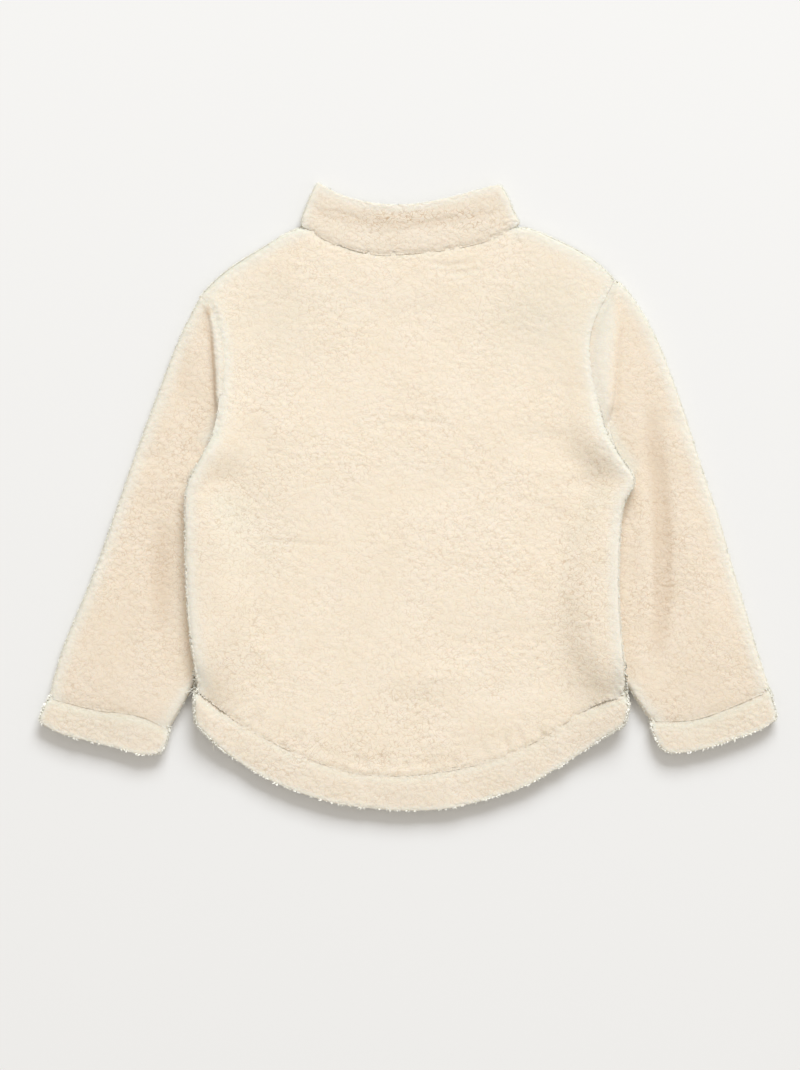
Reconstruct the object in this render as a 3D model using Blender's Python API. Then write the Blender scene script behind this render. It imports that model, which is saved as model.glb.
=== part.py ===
"""A child's sherpa fleece pullover laid flat with its back up.

Frame: origin on the surface under the middle of the outline, +X to the right, +Y towards
the collar, +Z up. The tables and sizes are in millimetres; the meshes are in metres.

Each laid-out piece is two walls of cloth, one on the other, joined by a rolled fold at its
edges. A wall has an outer and an inner surface, worked out from the piece's outline.
"""

import math

import bmesh
import bpy
import numpy as np

MM = 0.001

CLOTH = 4.5  # thickness of the fleece, ground and pile together
LAYER_GAP = 1.4  # between the two layers of a laid-out piece
HALF = CLOTH + LAYER_GAP / 2  # from the middle of a laid-out piece to its outer surface
SEAM_GAP = 0.3  # between pieces that are sewn together
BAND_HALF = 7.2  # the same as HALF, for hem band and cuffs, whose cloth is doubled
GROOVE_DEPTH = 1.3  # how far the pile sinks at a seam
GROOVE_WIDTH = 3.0
BED_RAMP = 34.0  # the width over which the body comes down beside a sleeve
SEAM_SINK = 0.15  # half the gap where front and back meet
NECK_DROP = 44.0  # how much lower the neck is cut in front
COLLAR_DROP = 34.0  # how much lower the collar's top edge lies in front
FRONT_HEM_SHORT = 3.0  # the front of the hem band is this much shorter, so it is hidden

# Outlines, as (x, y) along each edge.
NECK_SEAM = (
    (-95, 240), (-84, 231.5), (-70, 224), (-49, 215.5), (-25, 212), (0, 213), (26, 215),
    (48, 219), (77, 227), (98.5, 240),
)
COLLAR_TOP = (
    (-80, 276), (-69, 269), (-55, 263), (-33, 257.5), (-11, 255.5), (11, 257), (29, 260.5),
    (48, 265), (65, 270), (82, 273.5),
)
COLLAR_LEFT = ((-95, 240), (-91, 252), (-86, 264), (-80, 276))
COLLAR_RIGHT = ((98.5, 240), (93, 251), (88, 263), (82, 273.5))
SHOULDER_LEFT = ((-183, 176), (-174, 186), (-161, 198), (-145, 208.5), (-121, 223), (-95, 240))
SHOULDER_RIGHT = ((98.5, 240), (132, 225), (156, 213), (172, 201.5), (182, 190))
ARMHOLE_LEFT = (
    (-183, 176), (-176, 169), (-169, 159), (-164.5, 144), (-162, 126), (-162, 106),
    (-164, 84), (-166, 66), (-172, 51), (-180, 37), (-188, 22), (-195, 8),
)
ARMHOLE_RIGHT = (
    (182, 190), (177, 178), (172, 169), (166, 158), (162, 147), (159.5, 132), (160, 114),
    (163, 98), (165.5, 81), (170, 66), (177, 50), (186, 36), (195, 23), (201, 15),
)
SIDE_LEFT = (
    (-195, 8), (-196, -7), (-195.5, -29), (-195.5, -56), (-194, -91), (-191, -126),
    (-188, -147), (-187, -169),
)
SIDE_RIGHT = (
    (201, 15), (198, 6.5), (192, -1), (188.5, -12), (186.5, -24), (186, -38), (185, -65),
    (185, -91), (187, -119), (190, -148), (192, -174),
)
HEM_SEAM = (
    (-187, -169), (-177, -176.5), (-159, -190), (-139, -204), (-106, -221), (-78, -233),
    (-53, -241), (-12, -245), (22, -242), (59, -235), (88, -226), (128, -205), (148, -191),
    (166, -181), (192, -174),
)
HEM_EDGE = (
    (-187, -198), (-177, -210), (-159, -226), (-143, -237), (-119, -251), (-91, -262),
    (-59, -271), (-12, -276), (8, -276.5), (44, -273), (73, -265), (99, -257), (124, -243),
    (146, -230), (168, -214), (190, -201),
)
HEM_LEFT = ((-187, -169), (-188, -183), (-187, -198))
HEM_RIGHT = ((192, -174), (194, -186), (190, -201))

SLEEVES = {
    "left": {
        "outer": (
            (-183, 176), (-192, 166), (-199, 147), (-209, 118), (-222, 85), (-236, 47),
            (-252, 2), (-267, -43), (-284, -87), (-301, -126), (-312, -159), (-315, -176),
        ),
        "inner": (
            (-195, 8), (-187, -7), (-177, -29), (-171, -56), (-168, -87), (-171, -117),
            (-178, -144), (-187, -166), (-193, -177), (-201, -189), (-209, -204),
        ),
        "armhole": ARMHOLE_LEFT,
        "fold": (
            (-183, 173), (-175.5, 162), (-171, 144), (-169.5, 117), (-168, 97), (-168.5, 82),
            (-170.5, 62), (-176.5, 45), (-186, 28), (-195.5, 9),
        ),
        "seam": (
            (-315, -176), (-293, -182), (-273, -186.5), (-246, -190), (-231, -193),
            (-218, -200), (-209, -204),
        ),
        "cuff_edge": (
            (-324, -197), (-312, -206), (-282, -215), (-253, -222), (-231, -228), (-216, -225),
        ),
        "cuff_outer": ((-315, -176), (-320, -186), (-324, -197)),
        "cuff_inner": ((-209, -204), (-211, -214), (-216, -225)),
    },
    "right": {
        "outer": (
            (182, 190), (190, 186), (197.5, 180), (212, 154), (222, 132), (231, 108),
            (239, 85), (251, 49), (262, 13), (273, -16), (283, -55), (297, -100),
            (309, -144), (318, -169),
        ),
        "inner": (
            (201, 15), (194, 3), (185, -13), (175, -33), (167.5, -60), (165, -91),
            (168.5, -121), (178, -146), (190, -164), (201, -181), (212, -196),
        ),
        "armhole": ARMHOLE_RIGHT,
        "fold": (
            (186.5, 187), (184.5, 168), (182.5, 142), (181, 120), (180, 88), (179.5, 66),
            (182.5, 51), (188.5, 38), (196, 26), (202.5, 16.5),
        ),
        "seam": (
            (318, -169), (307, -174), (290, -181), (268, -190), (244, -196), (212, -196),
        ),
        "cuff_edge": (
            (324, -194), (315, -203), (292, -212), (260, -222), (234, -226), (223, -223),
        ),
        "cuff_outer": ((318, -169), (321, -182), (324, -194)),
        "cuff_inner": ((212, -196), (216, -211), (223, -223)),
    },
}

# How high the body is lifted along each sleeve: (fraction of the armhole, lift).
ARMHOLE_LIFT = (
    (0.0, 0.0), (0.2, 1.5), (0.4, 3.6), (0.6, 5.2), (0.7, 8.0), (0.8, 12.0), (1.0, 12.4)
)
# The same below the armhole: (y, lift). The sleeve comes out from under the body at the hem.
SLEEVE_LIFT = (
    (-205, 2.5), (-190, 4.0), (-175, 6.4), (-166, 8.6), (-158, 10.8), (-150, 12.2), (20, 12.4)
)
# How high the strip of sleeve between the armhole seam and the fold stands over the rest
# of the sleeve: (fraction of the armhole, height).
STRIP_HEIGHT = ((0.0, 0.2), (0.15, 2.4), (0.3, 4.2), (0.6, 5.0), (0.8, 3.4), (1.0, 0.4))


def spline(points, steps=24):
    """A smooth curve through the points, as a function of the fraction of its length."""
    p = np.array(points, float)
    ends = np.vstack([2 * p[0] - p[1], p, 2 * p[-1] - p[-2]])
    out = []
    for i in range(len(p) - 1):
        a, b, c, d = ends[i : i + 4]
        ta = 0.0
        tb = ta + max(np.linalg.norm(b - a), 1e-6) ** 0.5
        tc = tb + max(np.linalg.norm(c - b), 1e-6) ** 0.5
        td = tc + max(np.linalg.norm(d - c), 1e-6) ** 0.5
        for t in np.linspace(tb, tc, steps, endpoint=False):
            ab = (tb - t) / (tb - ta) * a + (t - ta) / (tb - ta) * b
            bc = (tc - t) / (tc - tb) * b + (t - tb) / (tc - tb) * c
            cd = (td - t) / (td - tc) * c + (t - tc) / (td - tc) * d
            ac = (tc - t) / (tc - ta) * ab + (t - ta) / (tc - ta) * bc
            bd = (td - t) / (td - tb) * bc + (t - tb) / (td - tb) * cd
            out.append((tc - t) / (tc - tb) * ac + (t - tb) / (tc - tb) * bd)
    out.append(p[-1])
    out = np.array(out)
    along = np.concatenate([[0], np.cumsum(np.linalg.norm(np.diff(out, axis=0), axis=1))])
    along /= along[-1]

    def at(q):
        q = np.asarray(q, float)
        return np.stack([np.interp(q, along, out[:, 0]), np.interp(q, along, out[:, 1])], -1)

    return at


def chain(*tables):
    """Smooth curves joined end to end at corners, as a function of the fraction of length."""
    curves = [spline(t) for t in tables]
    points = [c(np.linspace(0, 1, 240)) for c in curves]
    out = np.vstack([points[0]] + [p[1:] for p in points[1:]])
    along = np.concatenate([[0], np.cumsum(np.linalg.norm(np.diff(out, axis=0), axis=1))])
    along /= along[-1]

    def at(q):
        q = np.asarray(q, float)
        return np.stack([np.interp(q, along, out[:, 0]), np.interp(q, along, out[:, 1])], -1)

    return at


def table(rows, q):
    return np.interp(q, [row[0] for row in rows], [row[1] for row in rows])


def length(curve):
    return float(np.linalg.norm(np.diff(curve(np.linspace(0, 1, 200)), axis=0), axis=1).sum())


def smooth(q):
    q = np.clip(q, 0, 1)
    return q * q * (3 - 2 * q)


def bump(distance, width):
    return np.exp(-((distance / width) ** 2))


class Patch:
    """A four-sided area between an upper, a lower, a left and a right edge. s runs from the
    left edge to the right one, and v from the upper edge to the lower one."""

    def __init__(self, upper, lower, left, right):
        self.upper, self.lower, self.left, self.right = (
            edge if callable(edge) else spline(edge) for edge in (upper, lower, left, right)
        )

    def at(self, s, v):
        s, v = np.broadcast_arrays(np.asarray(s, float), np.asarray(v, float))
        a, b, c, d = (self.upper(0.0), self.upper(1.0), self.lower(0.0), self.lower(1.0))
        s1, v1 = s[..., None], v[..., None]
        flat = (
            (1 - v1) * self.upper(s) + v1 * self.lower(s)
            + (1 - s1) * self.left(v) + s1 * self.right(v)
        )
        return flat - (
            (1 - s1) * (1 - v1) * a + s1 * (1 - v1) * b + (1 - s1) * v1 * c + s1 * v1 * d
        )

    def side_scale(self, end, v):
        """Millimetres square to the side edge for each unit of s."""
        e = 1e-3
        inner = self.at(np.full_like(v, e if end == 0 else 1 - e), v)
        edge = self.at(np.full_like(v, float(end)), v)
        along = self.at(np.full_like(v, float(end)), np.clip(v + e, 0, 1)) - self.at(
            np.full_like(v, float(end)), np.clip(v - e, 0, 1)
        )
        along /= np.linalg.norm(along, axis=-1, keepdims=True)
        step = (inner - edge) / e
        return np.maximum(np.abs(step[..., 0] * along[..., 1] - step[..., 1] * along[..., 0]), 1.0)

    def row_scale(self, end, s):
        """Millimetres square to the upper or lower edge for each unit of v."""
        e = 1e-3
        inner = self.at(s, np.full_like(s, e if end == 0 else 1 - e))
        edge = self.at(s, np.full_like(s, float(end)))
        along = self.at(np.clip(s + e, 0, 1), np.full_like(s, float(end))) - self.at(
            np.clip(s - e, 0, 1), np.full_like(s, float(end))
        )
        along /= np.linalg.norm(along, axis=-1, keepdims=True)
        step = (inner - edge) / e
        return np.maximum(np.abs(step[..., 0] * along[..., 1] - step[..., 1] * along[..., 0]), 1.0)


# ------------------------------------------------------------------ what the body lies on


def bed_line(side):
    """The line at which the body starts to come down from a sleeve, and its lift."""
    s = SLEEVES[side]
    q = np.linspace(0, 1, 60)
    arm = spline(s["armhole"])(q)
    lift = table(ARMHOLE_LIFT, q)
    inner = spline(s["inner"])(np.linspace(0, 0.86, 60)[1:])
    sign = 1.0 if side == "left" else -1.0
    inner = inner + np.array([sign * 6.0, 0.0])
    arm = arm + np.stack([sign * 6.0 * smooth((q - 0.5) / 0.25), 0 * q], -1)
    hem = spline(HEM_LEFT if side == "left" else HEM_RIGHT)(np.linspace(0, 1, 12))
    keep = inner[:, 1] > hem[0, 1] + 3
    inner = inner[keep]
    line = np.vstack([arm, inner, hem])
    lifts = np.concatenate(
        [lift, table(SLEEVE_LIFT, inner[:, 1]), table(SLEEVE_LIFT, hem[:, 1])]
    )
    return line, lifts, sign


BED_LINES = [bed_line("left"), bed_line("right")]


def bed(points):
    """The height of what lies under the body at each (x, y)."""
    shape = points.shape[:-1]
    flat = points.reshape(-1, 2)
    best = np.zeros(len(flat))
    for line, lifts, sign in BED_LINES:
        a, b = line[:-1], line[1:]
        d = b - a
        t = ((flat[:, None] - a) * d).sum(-1) / np.maximum((d * d).sum(-1), 1e-9)
        t = np.clip(t, 0, 1)
        near = a + t[..., None] * d
        away = np.linalg.norm(flat[:, None] - near, axis=-1)
        k = away.argmin(axis=1)
        row = np.arange(len(flat))
        lift = lifts[k] + (lifts[k + 1] - lifts[k]) * t[row, k]
        offset = flat - near[row, k]
        normal = np.stack([d[k, 1], -d[k, 0]], -1) * sign
        outside = (offset * normal).sum(-1) > 0
        distance = np.where(outside, 0.0, away[row, k])
        ramp = 0.5 * (1 + np.cos(np.pi * np.clip(distance / BED_RAMP, 0, 1)))
        best = np.maximum(best, lift * ramp)
    return best.reshape(shape)


# ------------------------------------------------------------------ meshes


def finish(name, verts, faces, colour, roughness=0.95):
    mesh = bpy.data.meshes.new(name)
    bm = bmesh.new()
    made = [bm.verts.new([float(c) * MM for c in p]) for p in verts]
    for f in faces:
        bm.faces.new([made[i] for i in f])
    bmesh.ops.recalc_face_normals(bm, faces=bm.faces)
    if bm.calc_volume(signed=True) < 0:
        bmesh.ops.reverse_faces(bm, faces=bm.faces)
    for f in bm.faces:
        f.smooth = True
    bm.to_mesh(mesh)
    bm.free()
    obj = bpy.data.objects.new(name, mesh)
    bpy.context.scene.collection.objects.link(obj)
    material = bpy.data.materials.new(name + "_fleece")
    material.use_nodes = True
    shader = material.node_tree.nodes["Principled BSDF"]
    shader.inputs["Base Color"].default_value = (*colour, 1)
    shader.inputs["Roughness"].default_value = roughness
    mesh.materials.append(material)
    return obj


def open_wall(name, outer, inner, colour):
    """A wall between two grids of points with the same rows and columns."""
    rows, cols = outer.shape[:2]
    verts = np.vstack([outer.reshape(-1, 3), inner.reshape(-1, 3)])
    n = rows * cols

    def o(r, c):
        return r * cols + c

    faces = []
    for r in range(rows - 1):
        for c in range(cols - 1):
            a, b, d, e = o(r, c), o(r, c + 1), o(r + 1, c + 1), o(r + 1, c)
            faces += [(a, b, d), (a, d, e), (n + a, n + d, n + b), (n + a, n + e, n + d)]
    ring = (
        [o(0, c) for c in range(cols)]
        + [o(r, cols - 1) for r in range(1, rows)]
        + [o(rows - 1, c) for c in range(cols - 2, -1, -1)]
        + [o(r, 0) for r in range(rows - 2, 0, -1)]
    )
    for a, b in zip(ring, ring[1:] + ring[:1]):
        faces += [(b, a, n + a), (b, n + a, n + b)]
    return finish(name, verts, faces, colour)


def ring_wall(name, rings, colour):
    """A closed wall through rings of points: along the outer surface, round the end, and
    back along the inner one."""
    rows, cols = rings.shape[:2]
    faces = []
    for r in range(rows):
        q = (r + 1) % rows
        for c in range(cols):
            d = (c + 1) % cols
            faces.append((r * cols + c, r * cols + d, q * cols + d, q * cols + c))
    return finish(name, rings.reshape(-1, 3), faces, colour)


# ------------------------------------------------------------------ front and back


ROLL = [0.0, 22.5, 45.0, 67.5, 90.0]
FLAT_STEP = 1.5  # spacing of the first rows beside an edge that isn't rolled


def edge_profile(rolled, outer):
    """Distances in from an edge and heights there, as shares of the full height."""
    distance, height = [], []
    for i, angle in enumerate(ROLL):
        a = math.radians(angle)
        if outer:
            d = HALF * (1 - math.cos(a))
        else:
            d = CLOTH + LAYER_GAP / 2 * (1 - math.cos(a)) + 0.05 * i
        distance.append(rolled * d + (1 - rolled) * FLAT_STEP * i)
        height.append(rolled * math.sin(a) + (1 - rolled))
    return np.array(distance), np.array(height)


def panel(name, patch, neck, rolled_side, v_rows, s_cols, top, colour):
    """A front or back: top is 1 for the layer that lies on the other, and -1 for the other.
    rolled_side gives, for each side, how far the edge is rolled at each v."""
    grids = []
    neck_from, neck_to = neck
    for outer in (True, False):
        v_mid = np.array(v_rows)
        s_mid = np.array(s_cols)
        rows, cols = len(v_mid) + 5 + 3, len(s_mid) + 10
        s = np.zeros((rows, cols))
        v = np.zeros((rows, cols))
        lift = np.ones((rows, cols))
        # The columns' nominal s, to place the rows near the upper and lower edges.
        s_nominal = np.concatenate([np.linspace(0, 0.02, 5), s_mid, np.linspace(0.98, 1, 5)])
        neck_in = smooth((s_nominal - neck_from) / 0.02) * smooth((neck_to - s_nominal) / 0.02)
        top_scale = patch.row_scale(0, s_nominal)
        low_scale = patch.row_scale(1, s_nominal)
        for c in range(cols):
            rolled = 1 - neck_in[c]
            d, h = edge_profile(rolled, outer)
            v[:5, c] = d / top_scale[c]
            lift[:5, c] *= h
            first = v[4, c]
            last = 1 - 3 * FLAT_STEP / low_scale[c]
            v[5:-3, c] = first + (last - first) * v_mid
            v[-3:, c] = 1 - np.array([2, 1, 0]) * FLAT_STEP / low_scale[c]
        v_row = v[:, cols // 2]
        for end in (0, 1):
            scale = patch.side_scale(end, np.clip(v_row, 0.002, 0.998))
            for r in range(rows):
                d, h = edge_profile(rolled_side[end](v_row[r]), outer)
                part = d / scale[r]
                if end == 0:
                    s[r, :5] = part
                    lift[r, :5] *= h
                else:
                    s[r, -5:] = 1 - part[::-1]
                    lift[r, -5:] *= h[::-1]
        for r in range(rows):
            a, b = s[r, 4], s[r, -5]
            s[r, 5:-5] = a + (b - a) * s_mid
        flat = patch.at(s, v)
        reach = HALF if outer else LAYER_GAP / 2
        z = HALF + bed(flat) + top * (SEAM_SINK + (reach - SEAM_SINK) * lift)
        if outer:
            # The pile sinks at the seams.
            down = np.zeros((rows, cols))
            for r in range(rows):
                for end, columns in ((0, range(0, 7)), (1, range(cols - 7, cols))):
                    bare = 1 - rolled_side[end](v_row[r])
                    for c in columns:
                        edge = s[r, c] if end == 0 else 1 - s[r, c]
                        away = edge * patch.side_scale(end, np.array([v_row[r]]))[0]
                        down[r, c] = max(down[r, c], bare * bump(away, GROOVE_WIDTH))
            for c in range(cols):
                low = (1 - v[:, c]) * low_scale[c]
                high = v[:, c] * top_scale[c]
                down[:, c] = np.maximum(down[:, c], bump(low, GROOVE_WIDTH))
                down[:, c] = np.maximum(down[:, c], neck_in[c] * bump(high, GROOVE_WIDTH))
            z = z - top * GROOVE_DEPTH * down * lift
        grids.append(np.concatenate([flat, z[..., None]], -1))
    return open_wall(name, grids[0], grids[1], colour)


def spread(parts):
    """Fractions from 0 to 1 without the ends, with a given count in each part."""
    out, start = [], 0.0
    for end, count in parts:
        out += list(np.linspace(start, end, count + 1)[1:])
        start = end
    return out[:-1]


def side_roll(start, end):
    """How far the side edge is rolled at each v: 0 along the armhole, 1 below it."""
    return lambda v: float(smooth((v - start) / (end - start)))


def lowered(points, drop):
    curve = spline(points)
    q = np.linspace(0, 1, 19)
    p = curve(q)
    p[:, 1] -= drop * np.sin(np.pi * q)
    return tuple(map(tuple, p))


# ------------------------------------------------------------------ tubes


def loop_of(row_top, row_bottom, reach, radius, counts, mid_z):
    """One ring of a laid-out tube. row_top and row_bottom give the plan points of the upper
    and the lower layer for a distance from either end; reach is from the middle to the
    outermost surface, and radius from the middle to this surface."""
    n_top, n_bottom = counts
    points = []
    for angle in np.linspace(-90, 90, 9)[:-1]:
        a = math.radians(angle)
        x, y = row_top(start=reach - radius * math.cos(a))
        points.append((x, y, mid_z(x, y) + radius * math.sin(a), max(0.0, math.sin(a))))
    for i in range(n_top + 2):
        x, y = row_top(start=reach, end=reach, share=i / (n_top + 1))
        points.append((x, y, mid_z(x, y) + radius, 1.0))
    for angle in np.linspace(90, -90, 9)[1:]:
        a = math.radians(angle)
        x, y = row_top(end=reach - radius * math.cos(a))
        points.append((x, y, mid_z(x, y) + radius * math.sin(a), max(0.0, math.sin(a))))
    for i in range(1, n_bottom + 1):
        x, y = row_bottom(start=reach, end=reach, share=1 - i / (n_bottom + 1))
        points.append((x, y, mid_z(x, y) - radius, 0.0))
    return np.array(points)


class Row:
    """A curve across a tube, read by the distance from either end."""

    def __init__(self, points):
        p = np.array(points, float)
        self.p = p
        self.along = np.concatenate([[0], np.cumsum(np.linalg.norm(np.diff(p, axis=0), axis=1))])

    def __call__(self, start=None, end=None, share=None):
        total = self.along[-1]
        if share is not None:
            at = start + (total - start - end) * share
        elif start is not None:
            at = start
        else:
            at = total - end
        return np.interp(at, self.along, self.p[:, 0]), np.interp(at, self.along, self.p[:, 1])

    def share_of(self, x, y):
        k = int(np.argmin(((self.p - (x, y)) ** 2).sum(-1)))
        return self.along[k] / self.along[-1]


def away_from(points, gap, sign):
    """The curve moved square to itself."""
    p = np.array(points, float)
    d = np.gradient(p, axis=0)
    d /= np.linalg.norm(d, axis=1, keepdims=True)
    return p + sign * gap * np.stack([d[:, 1], -d[:, 0]], -1)


def sleeve(side, colour):
    s = SLEEVES[side]
    q = np.linspace(0, 1, 61)
    sign = 1.0 if side == "left" else -1.0
    outer, inner = spline(s["outer"]), spline(s["inner"])
    armhole = away_from(spline(s["armhole"])(q), SEAM_GAP + 0.3, sign)
    fold = spline(s["fold"])(q)
    seam = spline(s["seam"])(q)
    rows, heights = [], []
    lift = table(ARMHOLE_LIFT, q)
    strip = table(STRIP_HEIGHT, q)
    seam_height = np.minimum(lift, strip)
    rows.append(armhole)
    heights.append(seam_height - GROOVE_DEPTH)
    # Between the seam and the fold.
    for share, rise in ((0.35, 0.35), (0.72, 0.5)):
        rows.append(armhole + (fold - armhole) * share + 0.0)
        heights.append(strip + rise - (1 - share) * 0.3)
    fold_top = away_from(fold, 0.4, sign)
    rows.append(fold_top)
    heights.append(strip * 0.72)
    foot = away_from(fold, 2.4, sign)
    rows.append(foot)
    heights.append(strip * 0.08 - 0.3)
    chord = foot[0] + (foot[-1] - foot[0]) * q[:, None]
    bow = foot - chord
    counts = 11
    seam_chord = seam[0] + (seam[-1] - seam[0]) * q[:, None]
    seam_bow = seam - seam_chord
    for i in range(1, counts + 1):
        f = i / (counts + 1)
        o = outer(0.02 + 0.965 * f ** 0.92)
        n = inner(0.02 + 0.955 * f)
        row = o + (n - o) * q[:, None] + bow * (1 - f) ** 4.5 + seam_bow * f**3
        rows.append(row)
        heights.append(0.9 * smooth(f / 0.25) * np.sin(np.pi * np.clip(q / 0.7, 0, 1)))
    up = away_from(seam, 3.0, -1.0 if side == "left" else 1.0)
    up2 = away_from(seam, 1.2, -1.0 if side == "left" else 1.0)
    up[0], up[-1] = outer(0.992), inner(0.985)
    up2[0], up2[-1] = outer(0.997), inner(0.995)
    for row, depth in ((up, 0.35), (up2, 0.8), (seam, 1.0)):
        rows.append(row)
        heights.append(np.full(len(q), -GROOVE_DEPTH * depth))
    made = []
    counts = (10, 8)
    for radius, chosen in (
        (HALF, range(len(rows))),
        (LAYER_GAP / 2, [len(rows) - 1] + list(range(len(rows) - 4, 4, -2)) + [3, 0]),
    ):
        for j in chosen:
            row = Row(rows[j])
            ring = loop_of(row, row, HALF, radius, counts, lambda x, y: HALF)
            if radius == HALF:
                shares = np.array([row.share_of(x, y) for x, y in ring[:, :2]])
                ring[:, 2] += np.interp(shares, q, heights[j]) * ring[:, 3]
            made.append(ring[:, :3])
    return ring_wall("sleeve_" + side, np.array(made), colour)


def band(name, upper, lower, left, right, counts, half_at, bed_at, colour, shorter=None,
         height_at=None, rows=7, seam_gap=SEAM_GAP + 0.4):
    """A ring of doubled cloth from a seam at its upper edge to a rounded end at its lower
    one. half_at gives its half thickness by the distance from the seam."""
    patch = Patch(upper, lower, left, right)
    s = np.linspace(0, 1, 81)
    depth = patch.row_scale(0, s)

    def row_at(v, short):
        p = patch.at(s, np.clip(v, 0, 1))
        if short is not None:
            p = p + short(s, v)
        return Row(p)

    wall = lambda d: half_at(d) - LAYER_GAP / 2
    total = float(np.median(depth))
    end_wall = wall(total)
    steps = []
    for d in np.concatenate([[0.0, 1.5, 3.5], np.linspace(7.0, total - end_wall / 2, rows - 3)]):
        steps.append((d, half_at(d)))
    for angle in (60, 30, 0, -30, -60):
        a = math.radians(angle)
        d = total - end_wall / 2 * (1 - math.cos(a))
        steps.append((d, LAYER_GAP / 2 + end_wall / 2 + end_wall / 2 * math.sin(a)))
    for d in np.linspace(total - end_wall / 2, 0.0, max(3, rows - 3)):
        steps.append((d, LAYER_GAP / 2))
    made = []
    for j, (d, radius) in enumerate(steps):
        v = (seam_gap + d * (1 - seam_gap / total)) / total
        half = float(half_at(min(d, total)))
        top = row_at(np.full_like(s, v), None)
        bottom = row_at(np.full_like(s, v), shorter)
        ring = loop_of(top, bottom, half, min(radius, half), counts, lambda x, y: 0.0)
        base = half + bed_at(ring[:, :2])
        ring[:, 2] += base
        if height_at is not None and j < rows + 3:
            ring[:, 2] += height_at(d) * ring[:, 3]
        made.append(ring[:, :3])
    return ring_wall(name, np.array(made), colour)


# ------------------------------------------------------------------ the garment


def build():
    bpy.context.scene.unit_settings.scale_length = 1.0
    for obj in list(bpy.data.objects):
        bpy.data.objects.remove(obj, do_unlink=True)
    cream = (0.90, 0.79, 0.61)
    tan = (0.87, 0.73, 0.53)
    pale = (0.91, 0.83, 0.68)

    upper = chain(SHOULDER_LEFT, NECK_SEAM, SHOULDER_RIGHT)
    left = chain(ARMHOLE_LEFT, SIDE_LEFT)
    right = chain(ARMHOLE_RIGHT, SIDE_RIGHT)
    a, b, c = (length(spline(t)) for t in (SHOULDER_LEFT, NECK_SEAM, SHOULDER_RIGHT))
    neck = (a / (a + b + c), (a + b) / (a + b + c))
    rolls = []
    for arm, side in ((ARMHOLE_LEFT, SIDE_LEFT), (ARMHOLE_RIGHT, SIDE_RIGHT)):
        share = length(spline(arm)) / (length(spline(arm)) + length(spline(side)))
        rolls.append(side_roll(share * 0.66, share * 0.97))
    back = Patch(upper, HEM_SEAM, left, right)
    v_rows = spread(((0.10, 3), (0.33, 6), (0.60, 10), (1.0, 7)))
    s_cols = spread(((0.12, 3), (neck[0], 3), (neck[1], 10), (0.88, 3), (1.0, 3)))
    panel("back", back, neck, rolls, v_rows, s_cols, 1, cream)

    front_upper = chain(SHOULDER_LEFT, lowered(NECK_SEAM, NECK_DROP), SHOULDER_RIGHT)
    a, b, c = (
        length(spline(t)) for t in (SHOULDER_LEFT, lowered(NECK_SEAM, NECK_DROP), SHOULDER_RIGHT)
    )
    neck = (a / (a + b + c), (a + b) / (a + b + c))
    front = Patch(front_upper, HEM_SEAM, left, right)
    s_cols = spread(((0.12, 3), (neck[0], 3), (neck[1], 10), (0.88, 3), (1.0, 3)))
    panel("front", front, neck, rolls, v_rows, s_cols, -1, cream)

    sleeve("left", tan)
    sleeve("right", tan)

    def band_half(d):
        return HALF - 1.0 + (BAND_HALF - HALF + 1.0) * smooth(np.asarray(d) / 9.0)

    def short_hem(s, v):
        return np.stack([0 * s, FRONT_HEM_SHORT * v * np.sin(np.pi * s) ** 0.5], -1)

    band("hem_band", HEM_SEAM, HEM_EDGE, HEM_LEFT, HEM_RIGHT, (22, 14), band_half, bed, pale,
         shorter=short_hem)

    def flat_bed(points):
        return np.zeros(points.shape[:-1])

    for side in ("left", "right"):
        s = SLEEVES[side]
        band("cuff_" + side, s["seam"], s["cuff_edge"], s["cuff_outer"], s["cuff_inner"], (8, 6),
             band_half, flat_bed, pale, shorter=lambda s, v: np.stack(
                 [0 * s, 2.0 * v * np.sin(np.pi * s) ** 0.5], -1))

    def collar_half(d):
        return HALF + 0 * np.asarray(d)

    def low_front(s, v):
        drop = (NECK_DROP - 1.0) * (1 - v) + COLLAR_DROP * v
        drop = drop * np.sin(np.pi * s)
        return np.stack([0 * s, -drop], -1)

    def collar_height(d):
        # A groove at the seam, a hollow across the middle, and a full rolled top edge.
        return (
            -GROOVE_DEPTH * bump(d, GROOVE_WIDTH)
            + 1.6 * bump(d - 9, 6.0)
            + 3.0 * smooth((d - 20) / 10)
        )

    band("collar", NECK_SEAM, COLLAR_TOP, COLLAR_LEFT, COLLAR_RIGHT, (16, 12), collar_half,
         flat_bed, pale, shorter=low_front, height_at=collar_height, rows=9)

    # The origin goes under the middle of the outline, on the surface.
    points = np.array([v.co for o in bpy.data.objects for v in o.data.vertices])
    low, high = points.min(axis=0), points.max(axis=0)
    shift = np.array([(low[0] + high[0]) / 2, (low[1] + high[1]) / 2, low[2]])
    for obj in bpy.data.objects:
        for vert in obj.data.vertices:
            vert.co = [vert.co[i] - shift[i] for i in range(3)]


build()
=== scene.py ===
"""Sherpa fleece pullover, laid flat with its back up.

Each sewn piece gets a soft cloth shell, with its pile and the loose fibre at its edges.
"""

import math
from collections import namedtuple

import bmesh
import bpy
import numpy as np
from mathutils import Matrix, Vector
from mathutils.bvhtree import BVHTree
from mathutils.kdtree import KDTree


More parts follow.
